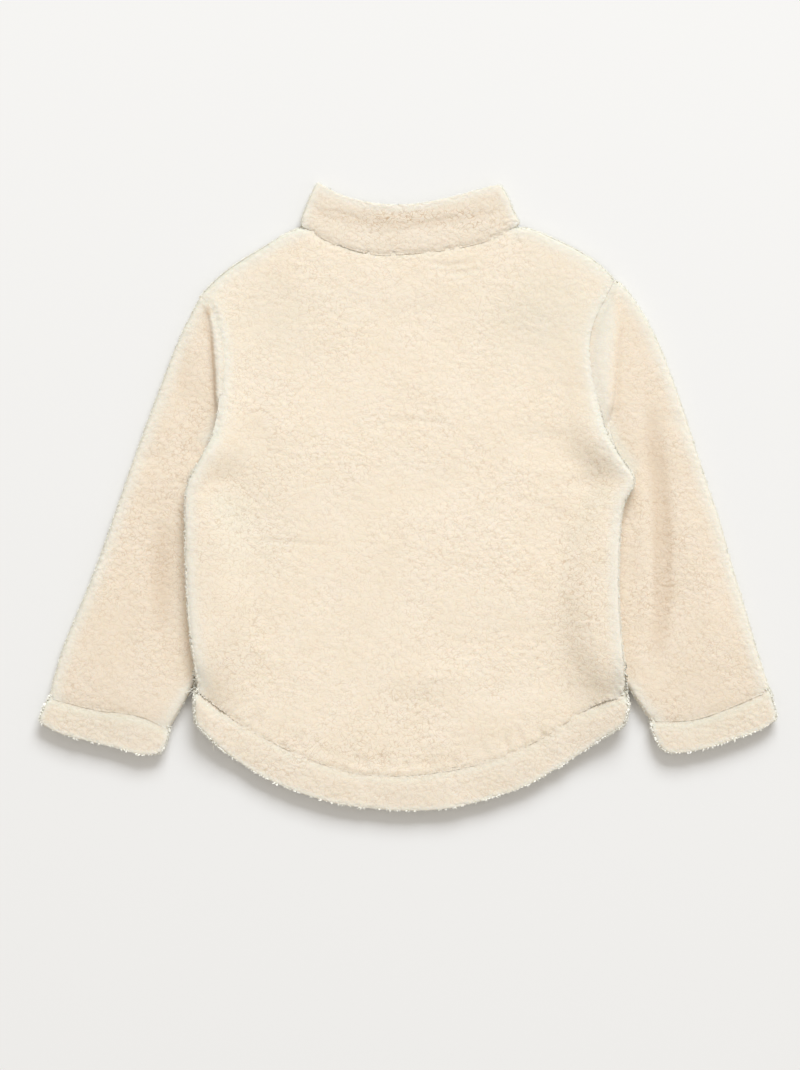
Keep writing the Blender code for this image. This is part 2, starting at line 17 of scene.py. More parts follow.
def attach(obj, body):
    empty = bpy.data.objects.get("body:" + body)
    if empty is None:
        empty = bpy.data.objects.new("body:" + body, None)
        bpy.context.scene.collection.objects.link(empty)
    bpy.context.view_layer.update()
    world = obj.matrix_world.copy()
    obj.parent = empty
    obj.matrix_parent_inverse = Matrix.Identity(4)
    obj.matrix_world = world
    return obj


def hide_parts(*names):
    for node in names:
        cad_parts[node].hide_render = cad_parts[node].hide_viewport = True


bl_info = {
    "name": "Sherpa fleece pullover",
    "version": (1, 0, 0),
    "blender": (4, 5, 0),
    "location": "View3D > Sidebar > Pullover",
    "description": "Builds a curly fleece pullover over its cut pieces",
    "category": "Add Mesh",
}

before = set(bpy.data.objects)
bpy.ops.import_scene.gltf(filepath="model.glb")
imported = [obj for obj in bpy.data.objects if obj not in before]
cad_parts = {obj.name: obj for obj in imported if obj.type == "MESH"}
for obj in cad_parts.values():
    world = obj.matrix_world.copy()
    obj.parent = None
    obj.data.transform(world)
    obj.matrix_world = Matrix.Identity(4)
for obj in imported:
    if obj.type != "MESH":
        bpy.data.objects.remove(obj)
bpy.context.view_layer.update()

MM = 0.001
MERGE = 1e-5  # the CAD triangles share corners to within this
ROUNDING = 2  # subdivision levels that round the facets of a piece
SEE_OUT = 0.015  # a face of the lining side meets its own garment within this
FLAT_SHARE = 0.35  # how much of a crease the lining side follows
RIM_ANGLE = math.radians(58)  # a cut edge turns by more than this
SEAM_REACH = 0.0035  # cloth this near the next piece is drawn to its seam
SEAM_FLAT = 0.003  # cloth this near a seam is brought level with the cloth beside it
SEAM_DEEP = 0.0005  # how deep the line of a seam is
SEAM_SHOWS = 0.010  # past this distance nothing of a seam shows
LEVEL_REACH = 0.007  # the cloth that a sewn edge is levelled with lies this near the seam
LEVEL_LIFT = 0.0032  # an edge that lies further than this below it is left as it is
LOW = 0.006  # the cloth of the upper side lies above this height
BESIDE = 0.004  # an edge is open where nothing lies this far outside it
UNDER_SHIFT = (14, -9)  # how far the folds of the underside lie from the upper ones, in mm
FUZZ_BAND = 0.0035  # how far in from an open edge loose fibre stands
TURNED, UNDERSIDE = 0.12, -0.1  # it stands where the cloth turns over, and not underneath
DRAW_IN = 0.0013  # how far the open edges of the front draw in under the back
DRAW_REACH = 0.006  # how far into the front that draws its cloth along
SEAM_LAP = 0.0017  # how far the pile of two sewn pieces runs into each other
FAR = 30.0  # more than this many mm from a line counts as far from it
BODY = ("back", "front")
BANDS = ("hem_band", "cuff_left", "cuff_right")

# Each sewn piece: its material slot, the most that an edge of its shell may measure and how
# far the paler fibre and painted sheen of an open edge reach into it, both in mm, how many locks
# of loose fibre it has, and the flat cloth that it shows, all round on a tube, in m and m2.
Piece = namedtuple("Piece", "slot finest halo locks flat area")
PIECES = {
    "back": Piece("body_fleece", 3.0, 11.0, 1500, (0.43, 0.485), 0.160),
    "front": Piece("body_fleece", 5.5, 6.0, 0, (0.43, 0.475), 0.154),
    "sleeve_left": Piece("sleeve_fleece", 2.75, 11.0, 500, (0.275, 0.345), 0.062),
    "sleeve_right": Piece("sleeve_fleece", 2.75, 11.0, 500, (0.290, 0.355), 0.069),
    "collar": Piece("collar_fleece", 2.1, 7.0, 350, (0.385, 0.062), 0.0195),
    "hem_band": Piece("band_fleece", 2.1, 4.0, 3000, (0.80, 0.034), 0.0255),
    "cuff_left": Piece("band_fleece", 1.95, 4.0, 800, (0.22, 0.030), 0.0065),
    "cuff_right": Piece("band_fleece", 1.95, 4.0, 800, (0.22, 0.030), 0.0065),
}

# Soft troughs (depth below 0) and ridges (above 0) on the upper side, in mm:
# the points of its line, the width of its slope, the depth.
CREASES = {
    "back": (
        (((-139, -37), (-104, -40), (-69, -43)), 2.2, -0.5),
        (((-30, 62), (6, 66), (40, 62)), 3.5, -0.35),
        (((18, 205), (38, 203), (58, 206)), 2.0, -0.7),
        (((22, 198), (45, 197), (70, 200)), 2.0, -0.5),
        (((100, 190), (118, 172), (132, 140)), 24.0, 0.8),
        (((-104, 196), (-112, 172), (-108, 140)), 16.0, -0.5),
        (((158, 62), (176, 36), (192, 12)), 15.0, 0.2),
        (((88, 66), (112, 50), (138, 34)), 15.0, -0.3),
        (((-186, 22), (-170, 8), (-150, 2)), 13.0, 0.2),
        (((-150, 70), (-128, 52), (-112, 30)), 12.0, -0.6),
        (((-172, -70), (-160, -100), (-166, -130)), 12.0, 0.3),
        (((150, -50), (162, -90), (158, -130)), 14.0, -0.3),
        (((60, -150), (20, -158), (-20, -160)), 14.0, 0.8),
    ),
    "front": (
        (((-120, -60), (-80, -66), (-30, -64)), 9.0, -1.0),
        (((40, 90), (80, 84), (120, 88)), 12.0, -1.0),
        (((-60, 150), (-30, 120), (-24, 80)), 14.0, -1.1),
        (((90, -20), (104, -70), (98, -120)), 13.0, -1.0),
        (((-150, 40), (-130, 10), (-126, -30)), 11.0, -0.9),
    ),
    "sleeve_left": (
        (((-214, -18), (-217, -70), (-214, -128)), 13.0, -1.7),
        (((-196, 150), (-198, 110), (-194, 70)), 9.0, -0.8),
        (((-262, -60), (-268, -110), (-276, -150)), 14.0, 0.9),
        (((-250, 40), (-232, 34), (-214, 38)), 6.0, -0.5),
    ),
    "sleeve_right": (
        (((212, 88), (222, -10), (223, -80), (219, -148)), 10.5, -2.6),
        (((250, -30), (262, -90), (268, -140)), 16.0, 1.0),
        (((203, 20), (206, -60), (204, -120)), 8.0, 0.8),
        (((226, 70), (244, 62), (256, 64)), 7.0, -0.5),
    ),
    "collar": (
        (((-86, 252), (-56, 243), (-6, 239), (40, 242), (74, 251)), 5.0, -0.3),
        (((-70, 252), (-50, 246), (-36, 242)), 2.0, -0.4),
        (((-58, 233), (-30, 231), (-4, 233)), 2.2, -0.25),
        (((6, 240), (26, 242), (44, 246)), 1.8, -0.35),
    ),
    "hem_band": (
        (((-120, -208), (-108, -221), (-104, -228)), 5.0, -0.6),
        (((-40, -243), (-36, -254), (-37, -262)), 6.0, -0.6),
        (((38, -244), (44, -254), (43, -262)), 5.0, -0.5),
        (((112, -214), (120, -224), (124, -230)), 6.0, -0.6),
    ),
    "cuff_left": ((((-270, -192), (-267, -203), (-266, -212)), 5.0, -0.5),),
    "cuff_right": ((((262, -186), (266, -198), (266, -208)), 5.0, -0.5),),
}

# Places where the pile is rougher and its crevices take more painted shade: the middle and half
# width each way, in mm, how much.
ROUGH = (
    (-2, 243, 70, 9, 2.1),
    (-40, 226, 60, 5, 0.5),
    (-60, -222, 75, 16, 0.9),
    (-150, -60, 34, 120, 0.5),
    (150, -60, 34, 120, 0.45),
    (0, -175, 60, 30, 0.3),
    (-235, 20, 60, 90, 0.3),
    (225, -60, 34, 120, 0.35),
    (135, 120, 60, 60, -0.45),
    (-150, -190, 40, 30, -0.3),
)

# Patches of painted shade, darker on the shoulders, at the top and left of the body and on the
# cuffs, in the same way.
SHADE_PATCHES = (
    (124, 160, 58, 52, 0.17),
    (-122, 158, 56, 52, 0.12),
    (-140, -20, 44, 90, 0.12),
    (0, 170, 90, 40, 0.07),
    (-270, -202, 50, 24, 0.09),
    (264, -202, 50, 24, 0.09),
)

# The pieces that each one shows a tan seam line to.
SEAM_TO = {
    "back": ("hem_band", "collar", "sleeve_right"),
    "front": ("hem_band", "collar"),
    "sleeve_left": ("cuff_left",),
    "sleeve_right": ("cuff_right", "back"),
    "collar": ("back", "front"),
    "hem_band": ("back", "front"),
    "cuff_left": ("sleeve_left",),
    "cuff_right": ("sleeve_right",),
}

# Edges moved to lie under or up to the next piece: the line and the width in mm, and the way
# each moves, in mm.
TUCKS = {
    "sleeve_left": ((((-169, 72), (-174, 52), (-184, 38)), 11.0, (4.5, -1.0, -1.0)),),
    "sleeve_right": ((((178, 64), (187, 42), (198, 24)), 13.0, (-6.0, -1.5, -1.2)),),
    "collar": ((((-58, 221), (-50, 218), (-42, 216)), 6.5, (0.0, -1.1, 0.0)),),
    "back": (
        (((-60, 219), (-50, 215), (-40, 213)), 5.0, (0.0, 0.9, 0.0)),
        (((156, -187), (170, -182), (186, -174)), 6.5, (0.5, -1.3, -0.2)),
        (((-184, -173), (-172, -181), (-160, -188)), 6.5, (-0.5, -1.2, -0.2)),
    ),
}

# How a piece settles near its seam to other ones, in mm: the pieces, the reach, the rise.
SETTLE = {
    "collar": (("back",), 4.5, 0.3),
    "back": (("collar", "hem_band"), 7.0, 0.5),
    "hem_band": (("back",), 6.0, -0.5),
    "cuff_left": (("sleeve_left",), 6.0, -1.2),
    "cuff_right": (("sleeve_right",), 6.0, -1.2),
}
# How much of its CAD height the hem band keeps towards its side ends: x in mm, the share.
BAND_KEEPS = ((150, 176), (0.0, 0.85))
# How far the body comes down to the ends of the hem band: x, the drop and its reach, in mm.
CORNER_DROP = ((156, 168, 176, 182, 190), (0.0, 0.5, 1.2, 2.6, 3.0)), 15.0
# The left armhole seam, the rise of the cloth along it, and the reach of that, all in mm.
ARMHOLE_FILL = ((-166, 166), (-163.5, 140), (-163, 100), (-165, 72)), 1.5
ARMHOLE_REACH = {"back": 6.0, "sleeve_left": 3.0}

# Painted shadow along folds, tanner than the cloth beside them: the line in mm, how tan it is, and
# whether it is sharp.
FOLD_SHADOW_LINES = {
    "sleeve_left": (
        ((-176, 168), (-173, 152), (-170, 117), (-168.5, 90), (-170, 62), (-176, 46)),
        0.8,
        True,
    ),
    "sleeve_right": (((187, 150), (185, 110), (184, 66), (190, 48)), 0.4, False),
    "collar": (((-86, 252), (-56, 243), (-6, 239), (40, 242), (74, 251)), 0.3, False),
}

# Painted highlight on the raised strips beside a fold: the line and its half width in mm, and how
# pale they are.
HIGHLIGHT_STRIPS = {
    "sleeve_left": (
        ((-171, 156), (-166, 130), (-165, 90), (-167, 55), (-172, 46)),
        4.5,
    ),
    "sleeve_right": (
        ((172, 176), (174, 152), (171, 128), (169, 100), (170, 72), (180, 48), (194, 26)),
        9.0,
    ),
}
HIGHLIGHT_STRENGTH = 0.75

# The darker cream painted as shade on pile that faces the lamp, and the palest loose fibre, as
# linear values.
PAINTED_SHADE_TONE, PALE_FIBRE = (0.5, 0.52, 0.43), (0.87, 0.855, 0.79)

# How strong the tan of the seam lines is, and the painted shade in the crevices, in each slot.
SEAM_TINT = {"collar_fleece": 0.5}
CREVICE_TINT = {"body_fleece": 0.38, "sleeve_fleece": 0.45}

# Heights in the CAD piece and in its cloth, in mm: the turned-up cloth of a band presses
# flatter than its solid.
BAND_LEVELS = (
    (0, 7.2, 8.6, 9.8, 11.6, 13.5, 14.4),
    (0, 7.2, 9.3, 10.1, 10.6, 11.0, 11.2),
)
LEVELS = {
    "hem_band": BAND_LEVELS,
    "cuff_left": BAND_LEVELS,
    "cuff_right": BAND_LEVELS,
    "collar": ((0, 7.5, 9.4, 10.2, 11.6, 13.4, 15), (0, 7.5, 10.0, 10.4, 10.8, 11.1, 11.5)),
}

# Puckers that the hem seam pulls into the back, as runs along it: from x, to x, how many, in mm.
PUCKERS = ((-150, -60, 7), (-52, 44, 9), (60, 150, 5))
PUCKER_LENGTH, PUCKER_WIDTH, PUCKER_DEPTH = 15.0, 3.2, 0.75

# The loose locks on the bands and elsewhere: how much longer, and how stout for their length.
RAGGED, NEAT = (1.4, 0.28), (1.0, 0.14)

# The large soft lamp, and the middle of the view on the floor, in m.
KEY_PLACE, KEY_SIZE = (2.16, 9.05, 5.94), (6.75, 4.6)
VIEW_MIDDLE = (-0.00704, -0.0336)

# Loose ends of yarn: where each lies, in mm, the way it points, in degrees, and its length in mm.
YARN_RADIUS = 0.00034
YARN_ENDS = (
    (-188.5, -168.0, 205, 9.0),
    (-188.0, -169.5, 232, 8.0),
    (-187.5, -170.5, 188, 7.0),
    (-187.0, -171.5, 250, 9.5),
    (-189.0, -169.0, 160, 5.0),
    (-172.0, -219.5, 262, 7.0),
    (-171.0, -219.0, 286, 5.5),
    (-173.0, -219.0, 240, 5.0),
)


def number(name, description, default, **kind):
    return bpy.props.FloatProperty(
        name=name, description=description, default=default, **kind
    )


def length(name, description, default):
    return number(name, description, default, unit="LENGTH")


def colour(name, description, default):
    return bpy.props.FloatVectorProperty(
        name=name, description=description, default=default, subtype="COLOR"
    )


class PileSettings(bpy.types.PropertyGroup):
    """The curly pile of the cloth"""

    clump_size: length("Clump size", "Width of a few curls that stand together", 0.0046)
    curl_size: length("Curl size", "Width of one curl of the pile", 0.0026)
    curl_height: length(
        "Curl height", "How far a curl stands above the crevice beside it", 0.0003
    )
    lump_height: length(
        "Lump height", "Rise of the wider unevenness of the pile", 0.00015
    )
    sag_height: length(
        "Sag height", "Rise and fall of the cloth over a hand's width", 0.0010
    )
    rim_gain: number(
        "Rim gain", "How much rougher the pile is where the cloth turns over", 0.9
    )
    fuzz_length: length("Fuzz length", "Length of the loose curls at the edges", 0.0016)


class ColourSettings(bpy.types.PropertyGroup):
    """The colours of the fleece, as linear values"""

    body: colour("Body", "Cream of the front and back", (0.868, 0.770, 0.632))
    sleeve: colour("Sleeve", "Cream of the sleeves", (0.832, 0.727, 0.592))
    band: colour("Band", "Cream of the collar and bands", (0.815, 0.727, 0.604))
    # The crevice tan is painted shade between the curls, and also the tint of the painted fold
    # shade and fold shadow.
    crevice: colour("Crevice", "Tan between the curls", (0.560, 0.400, 0.260))
    # The fuzz colour is also mixed into the cloth as painted sheen at its rims and open edges.
    fuzz: colour("Fuzz", "Off-white loose fibre at the edges", (0.800, 0.783, 0.700))


class StudioSettings(bpy.types.PropertyGroup):
    """The floor, lights and camera"""

    key_power: number(
        "Key light",
        "Power of the large soft light beyond the collar",
        1200.0,
        subtype="POWER",
    )
    sky: number("Sky", "Brightness of the even light all round", 0.60, subtype="FACTOR")
    floor: colour(
        "Floor", "Colour of the paper under the garment", (0.815, 0.809, 0.797)
    )
    camera_height: length(
        "Camera height", "How far the camera hangs above the floor", 3.0
    )
    view_height: length(
        "View height", "How much floor the tall side of the picture takes in", 0.9416
    )


def pile():
    return bpy.context.scene.pullover_pile


def colours():
    return bpy.context.scene.pullover_colours


def studio():
    return bpy.context.scene.pullover_studio


# ---------------------------------------------------------------- node helpers


def add(tree, kind, inputs=(), **settings):
    """A node with its settings, each input given as a socket to link or a value."""
    node = tree.nodes.new(kind)
    for name, value in settings.items():
        setattr(node, name, value)
    for key, value in dict(inputs).items():
        if isinstance(value, bpy.types.NodeSocket):
            tree.links.new(value, node.inputs[key])
        else:
            node.inputs[key].default_value = value
    return node


def maths(tree, operation, a, b=0.0, clamp=False):
    return add(
        tree, "ShaderNodeMath", {0: a, 1: b}, operation=operation, use_clamp=clamp
    ).outputs[0]


def times(tree, a, b, clamp=False):
    return maths(tree, "MULTIPLY", a, b, clamp)


def around(tree, value, middle):
    """The value with its middle moved to 0."""
    return maths(tree, "SUBTRACT", value, middle)


def ramp(tree, value, low, high, to_low=0.0, to_high=1.0):
    """The value carried smoothly from one range to another, and held at its ends."""
    return add(
        tree,
        "ShaderNodeMapRange",
        {"Value": value, 1: low, 2: high, 3: to_low, 4: to_high},
        interpolation_type="SMOOTHSTEP",
    ).outputs[0]


def clouds(tree, place, size, detail=2.0):
    return add(
        tree,
        "ShaderNodeTexNoise",
        {"Vector": place, "Scale": 1.0 / size, "Detail": detail, "Roughness": 0.5},
    )


def vector(tree, operation, a, b):
    node = add(tree, "ShaderNodeVectorMath", {0: a, 1: b}, operation=operation)
    return node.outputs[0]


def attribute(tree, name, output="Fac"):
    return add(tree, "ShaderNodeAttribute", attribute_name=name).outputs[output]


def sockets(tree, kind, names, in_out="INPUT"):
    return [
        tree.interface.new_socket(name, in_out=in_out, socket_type="NodeSocket" + kind)
        for name in names
    ]


def bumped(tree, skin, height, strength, distance):
    """The surface of a shader with a relief of its own."""
    inputs = {"Height": height, "Strength": strength, "Distance": distance}
    bump = add(tree, "ShaderNodeBump", inputs)
    tree.links.new(bump.outputs[0], skin.inputs["Normal"])


def coated(name, **values):
    """A new material with some values of its shader set, its node tree and its shader."""
    material = bpy.data.materials.new(name)
    material.use_nodes = True
    skin = material.node_tree.nodes["Principled BSDF"]
    for key, value in values.items():
        skin.inputs[key.replace("_", " ")].default_value = value
    return material, material.node_tree, skin


def winding(tree, place, size, shift):
    """How far the pile is from a winding line: 0 on it, and rising nearly evenly beside it."""
    moved = vector(tree, "ADD", vector(tree, "MULTIPLY", place, (0.8, 1.0, 1.0)), shift)
    level = clouds(tree, moved, size, 0.6).outputs[0]
    return maths(tree, "ABSOLUTE", around(tree, level, 0.5))


def curl_nodes(tree, place, size):
    """The height of the curls (0 to 1), the distance to a crevice and how rumpled the pile is."""
    wide = winding(tree, place, size * 1.7, (0.31, 0.17, 0.05))
    narrow = winding(tree, place, size * 1.2, (0.73, 0.52, 0.29))
    cells = maths(tree, "MINIMUM", wide, narrow)
    patchy = clouds(tree, place, 0.055, 1.0).outputs[0]
    rumple = ramp(tree, patchy, 0.36, 0.64, 0.65, 1.0)
    return ramp(tree, cells, 0.0, 0.09), cells, rumple


# ---------------------------------------------------------------- cloth shells


def put(name, mesh):
    obj = bpy.data.objects.new(name, mesh)
    bpy.context.scene.collection.objects.link(obj)
    return obj


def arrays(mesh):
    """The points and triangles of a mesh."""
    mesh.calc_loop_triangles()
    points = np.empty(len(mesh.vertices) * 3)
    mesh.vertices.foreach_get("co", points)
    faces = np.empty(len(mesh.loop_triangles) * 3, np.int32)
    mesh.loop_triangles.foreach_get("vertices", faces)
    return points.reshape(-1, 3), faces.reshape(-1, 3)


def build_mesh(name, points, faces):
    mesh = bpy.data.meshes.new(name)
    mesh.from_pydata(points.tolist(), [], faces.tolist())
    mesh.update()
    return mesh


def rounded(node):
    """The points and triangles of a cut piece, with its facets rounded off."""
    bm = bmesh.new()
    bm.from_mesh(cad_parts[node].data)
    bmesh.ops.remove_doubles(bm, verts=bm.verts, dist=MERGE)
    bmesh.ops.join_triangles(
        bm,
        faces=bm.faces,
        angle_face_threshold=math.radians(45),
        angle_shape_threshold=math.radians(45),
    )
    sharp = bm.edges.layers.float.new("crease_edge")
    for edge in bm.edges:
        if edge.calc_face_angle(0.0) > RIM_ANGLE:
            edge[sharp] = 1.0
    mesh = bpy.data.meshes.new("form")
    bm.to_mesh(mesh)
    bm.free()
    obj = put("form", mesh)
    soften = obj.modifiers.new("Soften", "SUBSURF")
    soften.levels = soften.render_levels = ROUNDING
    depsgraph = bpy.context.evaluated_depsgraph_get()
    smooth = bpy.data.meshes.new_from_object(obj.evaluated_get(depsgraph))
    found = arrays(smooth)
    bpy.data.objects.remove(obj)
    bpy.data.meshes.remove(mesh)
    bpy.data.meshes.remove(smooth)
    return found


def crosses(points, faces):
    """The normal of each triangle, twice as long as its area."""
    a, b, c = (points[faces[:, k]] for k in range(3))
    return np.cross(b - a, c - a)


def unit(vectors, least=1e-15):
    """The rows of an array at length 1, apart from those shorter than the least."""
    return vectors / np.maximum(np.linalg.norm(vectors, axis=1, keepdims=True), least)


def normals_of(points, faces):
    """Area-weighted normals of the points."""
    total = [
        sum(np.bincount(faces[:, k], axis, len(points)) for k in range(3))
        for axis in crosses(points, faces).T
    ]
    return unit(np.stack(total, axis=1), 1e-12)


def faces_out(points, faces, tree):
    """True for each triangle that can be seen from outside the garment."""
    middle = points[faces].mean(1)
    seen = np.zeros(len(faces), bool)
    for i, (place, normal) in enumerate(zip(middle, unit(crosses(points, faces)))):
        normal = Vector(normal)
        ways = [normal]
        if abs(normal.z) > 0.2:
            ways.append(Vector((0, 0, math.copysign(1, normal.z))))
        flat = Vector((normal.x, normal.y, 0))
        if flat.length > 0.3:
            ways.append(flat.normalized())
        start = Vector(place) + normal * 2e-5
        seen[i] = any(tree.ray_cast(start, way, SEE_OUT)[0] is None for way in ways)
    return seen


def split_long(points, faces, outer, longest):
    """One round of halving the edges over the longest, on the outer side and at its rim."""
    count = len(points)
    ends = faces[:, [[0, 1], [1, 2], [2, 0]]]
    low, high = ends.min(2).astype(np.int64), ends.max(2).astype(np.int64)
    keys = low * count + high
    lengths = np.linalg.norm(points[low] - points[high], axis=2)
    wanted = (lengths > longest) & outer[:, None]
    halved = np.unique(keys[wanted])
    if not len(halved):
        return points, faces, outer, False
    spot = np.minimum(np.searchsorted(halved, keys), len(halved) - 1)
    is_halved = halved[spot] == keys
    middle = np.where(is_halved, spot + count, -1)
    new_points = (points[halved // count] + points[halved % count]) / 2
    points = np.vstack([points, new_points])
    cuts = is_halved.sum(1)
    out_faces, out_outer = [faces[cuts == 0]], [outer[cuts == 0]]
    for cut in (1, 2, 3):
        pick = cuts == cut
        if not pick.any():
            continue
        f, m, s, o = faces[pick], middle[pick], is_halved[pick], outer[pick]
        # Turn each triangle so that its first edge is halved, and with two, its last is not.
        first = ((~s).argmax(1) + 1) % 3 if cut == 2 else s.argmax(1)
        turn = (first[:, None] + np.arange(3)) % 3
        f = np.take_along_axis(f, turn, 1)
        m = np.take_along_axis(m, turn, 1)
        a, b, c = f.T
        p, q, r = m.T
        if cut == 1:
            made = [(a, p, c), (p, b, c)]
        elif cut == 2:
            made = [(p, b, q), (a, p, q), (a, q, c)]
        else:
            made = [(a, p, r), (p, b, q), (r, q, c), (p, q, r)]
        for tri in made:
            out_faces.append(np.stack(tri, 1))
            out_outer.append(o)
    return points, np.vstack(out_faces), np.concatenate(out_outer), True


def flipped(points, faces, outer, rounds=2):
    """The triangles with the shared edge of thin outer pairs turned, so they show no grain."""
    count = len(points)

    def slope(at, left, right):
        u, v = points[left] - points[at], points[right] - points[at]
        dot = np.einsum("ij,ij->i", u, v)
        area = np.einsum("ij,ij->i", u, u) * np.einsum("ij,ij->i", v, v) - dot**2
        return dot / np.sqrt(np.maximum(area, 1e-30))

    def facing(p, q, r):
        return unit(np.cross(points[q] - points[p], points[r] - points[p]), 1e-18)

    def alike(m, n):
        return np.einsum("ij,ij->i", m, n)

    for _ in range(rounds):
        ends = faces[:, [[0, 1], [1, 2], [2, 0]]].reshape(-1, 2).astype(np.int64)
        keys = ends.min(1) * count + ends.max(1)
        order = np.argsort(keys)
        ranked = keys[order]
        same = ranked[1:] == ranked[:-1]
        one, two = order[:-1][same], order[1:][same]
        usable = outer[one // 3] & outer[two // 3]
        one, two = one[usable], two[usable]
        a, b = ends[one].T
        c = faces[one // 3, (one + 2) % 3].astype(np.int64)
        d = faces[two // 3, (two + 2) % 3].astype(np.int64)
        gain = -(slope(c, a, b) + slope(d, a, b))
        thin = gain > 1e-3
        one, two, a, b, c, d, gain = (x[thin] for x in (one, two, a, b, c, d, gain))
        old = facing(a, b, c)
        made = np.minimum(c, d) * count + np.maximum(c, d)
        known = ranked[np.minimum(np.searchsorted(ranked, made), len(ranked) - 1)]
        fine = (
            (alike(old, facing(b, a, d)) > 0.86)
            & (alike(old, facing(c, a, d)) > 0.5)
            & (alike(old, facing(d, b, c)) > 0.5)
            & (known != made)
        )
        one, two, a, b, c, d, gain, made = (
            x[fine] for x in (one, two, a, b, c, d, gain, made)
        )
        best = np.zeros(len(faces))
        np.maximum.at(best, one // 3, gain)
        np.maximum.at(best, two // 3, gain)
        turn = np.flatnonzero((gain >= best[one // 3]) & (gain >= best[two // 3]))
        _, alone = np.unique(made[turn], return_index=True)
        turn = turn[alone]
        if not len(turn):
            break
        faces = faces.copy()
        faces[one[turn] // 3] = np.stack([c, a, d], 1)[turn]
        faces[two[turn] // 3] = np.stack([d, b, c], 1)[turn]
    return faces


def relaxed(points, faces, free):
    """The free points moved halfway to the middle of their neighbours, to even out the mesh."""
    ends = np.vstack([faces[:, [0, 1]], faces[:, [1, 2]], faces[:, [2, 0]]])
    degree = np.maximum(np.bincount(ends.ravel(), minlength=len(points)), 1)
    evened = points.copy()
    for axis in range(3):
        values = points[:, axis]
        total = sum(
            np.bincount(ends[:, k], values[ends[:, 1 - k]], len(points))
            for k in range(2)
        )
        evened[:, axis] = (values + total / degree) / 2
    return np.where(free[:, None], evened, points)


def smooth_path(corners, steps=14):
    """Points on a smooth curve through a few corners."""
    corners = np.array(corners, float)
    if len(corners) == 2:
        return corners
    padded = np.vstack(
        [2 * corners[0] - corners[1], corners, 2 * corners[-1] - corners[-2]]
    )
    out = []
    for p0, p1, p2, p3 in zip(padded, padded[1:], padded[2:], padded[3:]):
        for t in np.linspace(0, 1, steps, endpoint=False):
            square = 2 * p0 - 5 * p1 + 4 * p2 - p3
            cube = 3 * p1 - p0 - 3 * p2 + p3
            out.append((2 * p1 + (p2 - p0) * t + square * t**2 + cube * t**3) / 2)
    return np.array([*out, corners[-1]])


def path_gap(places, path):
    """The distance of each place to a path, and how far along it the nearest point is."""
    nearest = np.full(len(places), 1e9)
    along = np.zeros(len(places))
    for i, (a, b) in enumerate(zip(path[:-1], path[1:])):
        step = b - a
        t = np.clip(((places - a) @ step) / (step @ step), 0, 1)
        gap = np.linalg.norm(places - (a + t[:, None] * step), axis=1)
        closer = gap < nearest
        nearest[closer] = gap[closer]
        along[closer] = (i + t[closer]) / (len(path) - 1)
    return nearest, along


def line_gap(points, corners):
    """The distance of each point to a line on the floor plan, in mm, and no more than FAR."""
    return np.minimum(path_gap(points[:, :2] / MM, smooth_path(corners))[0], FAR)


def crease(places, corners, width, depth):
    """The rise that one soft ridge or trough gives at each place, all in mm."""
    path = smooth_path(corners)
    low, high = path.min(0) - 3 * width, path.max(0) + 3 * width
    near = ((places > low) & (places < high)).all(1)
    rise = np.zeros(len(places))
    nearest, along = path_gap(places[near], path)
    fade = np.sqrt(np.sin(np.pi * np.clip(along, 0.02, 0.98)))
    rise[near] = depth * np.exp(-((nearest / width) ** 2)) * fade
    return rise


def puckers():
    """Short uneven troughs that run up from the hem seam."""
    rng = np.random.default_rng(41)
    rows = []
    for start, end, count in PUCKERS:
        for k in range(count):
            x = start + (end - start) * (k + rng.uniform(0.2, 0.8)) / count
            seam = -244 + 0.0019 * abs(x) ** 2
            reach = PUCKER_LENGTH * rng.uniform(0.6, 1.3)
            lean = rng.uniform(-0.35, 0.35) + 0.002 * x
            line = [(x - lean * reach * t, seam + 2 + reach * t) for t in (0, 0.5, 1)]
            width = PUCKER_WIDTH * rng.uniform(0.8, 1.3)
            rows.append((line, width, -PUCKER_DEPTH * rng.uniform(0.5, 1.1)))
    return rows


def creased(node, points, normals, outside):
    """The points of a shell with its folds pressed in on their side, and the depth of their
    troughs, for the painted shade there.
    """
    places = points[:, :2] / MM
    rows = list(CREASES[node]) + (puckers() if node == "back" else [])
    rise = sum(crease(places, *row) for row in rows)
    sign = np.where(outside, 1.0, -1.0) * normals[:, 2]
    upper, lower = (np.clip(side * 1.6 - 0.3, 0, 1) for side in (sign, -sign))
    share = np.where(outside, 1.0, FLAT_SHARE) * MM
    moved = points.copy()
    if node == "front":
        moved[:, 2] -= rise * lower * share
        return moved, np.clip(-rise * lower, 0, 3)
    moved[:, 2] += rise * upper * share
    if node != "back":
        below = sum(
            crease(places, np.add(line, UNDER_SHIFT), width, min(depth, 0) * 0.6)
            for line, width, depth in CREASES[node]
        )
        moved[:, 2] -= below * lower * share
    return moved, np.clip(-rise * upper, 0, 3)


def drawn_together(node, points, outside):
    """The points with the sewn edges drawn up to the next piece, and a little into it."""
    tree = neighbours([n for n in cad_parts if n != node])
    moved = points.copy()
    for i in np.flatnonzero(outside):
        place = Vector(points[i])
        hit, _, _, gap = tree.find_nearest(place, SEAM_REACH)
        if hit is None:
            continue
        near = 1 - gap / SEAM_REACH
        way = np.array(hit - place)
        pull = gap / 2 + SEAM_LAP * near
        moved[i] += way * (pull / max(gap, 1e-6)) * min(1.0, near * 3.0)
    return moved


def neighbours(nodes):
    """A search tree over the CAD solids of some nodes."""
    return search_tree([arrays(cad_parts[n].data) for n in nodes])


def gaps_to(nodes, points, picked, reach, past):
    """The distance of the picked points to some nodes' solids, and a value for all others."""
    tree = neighbours(nodes)
    gaps = np.full(len(points), past)
    for i in np.flatnonzero(picked):
        hit, _, _, gap = tree.find_nearest(Vector(points[i]), reach)
        if hit is not None:
            gaps[i] = gap
    return gaps


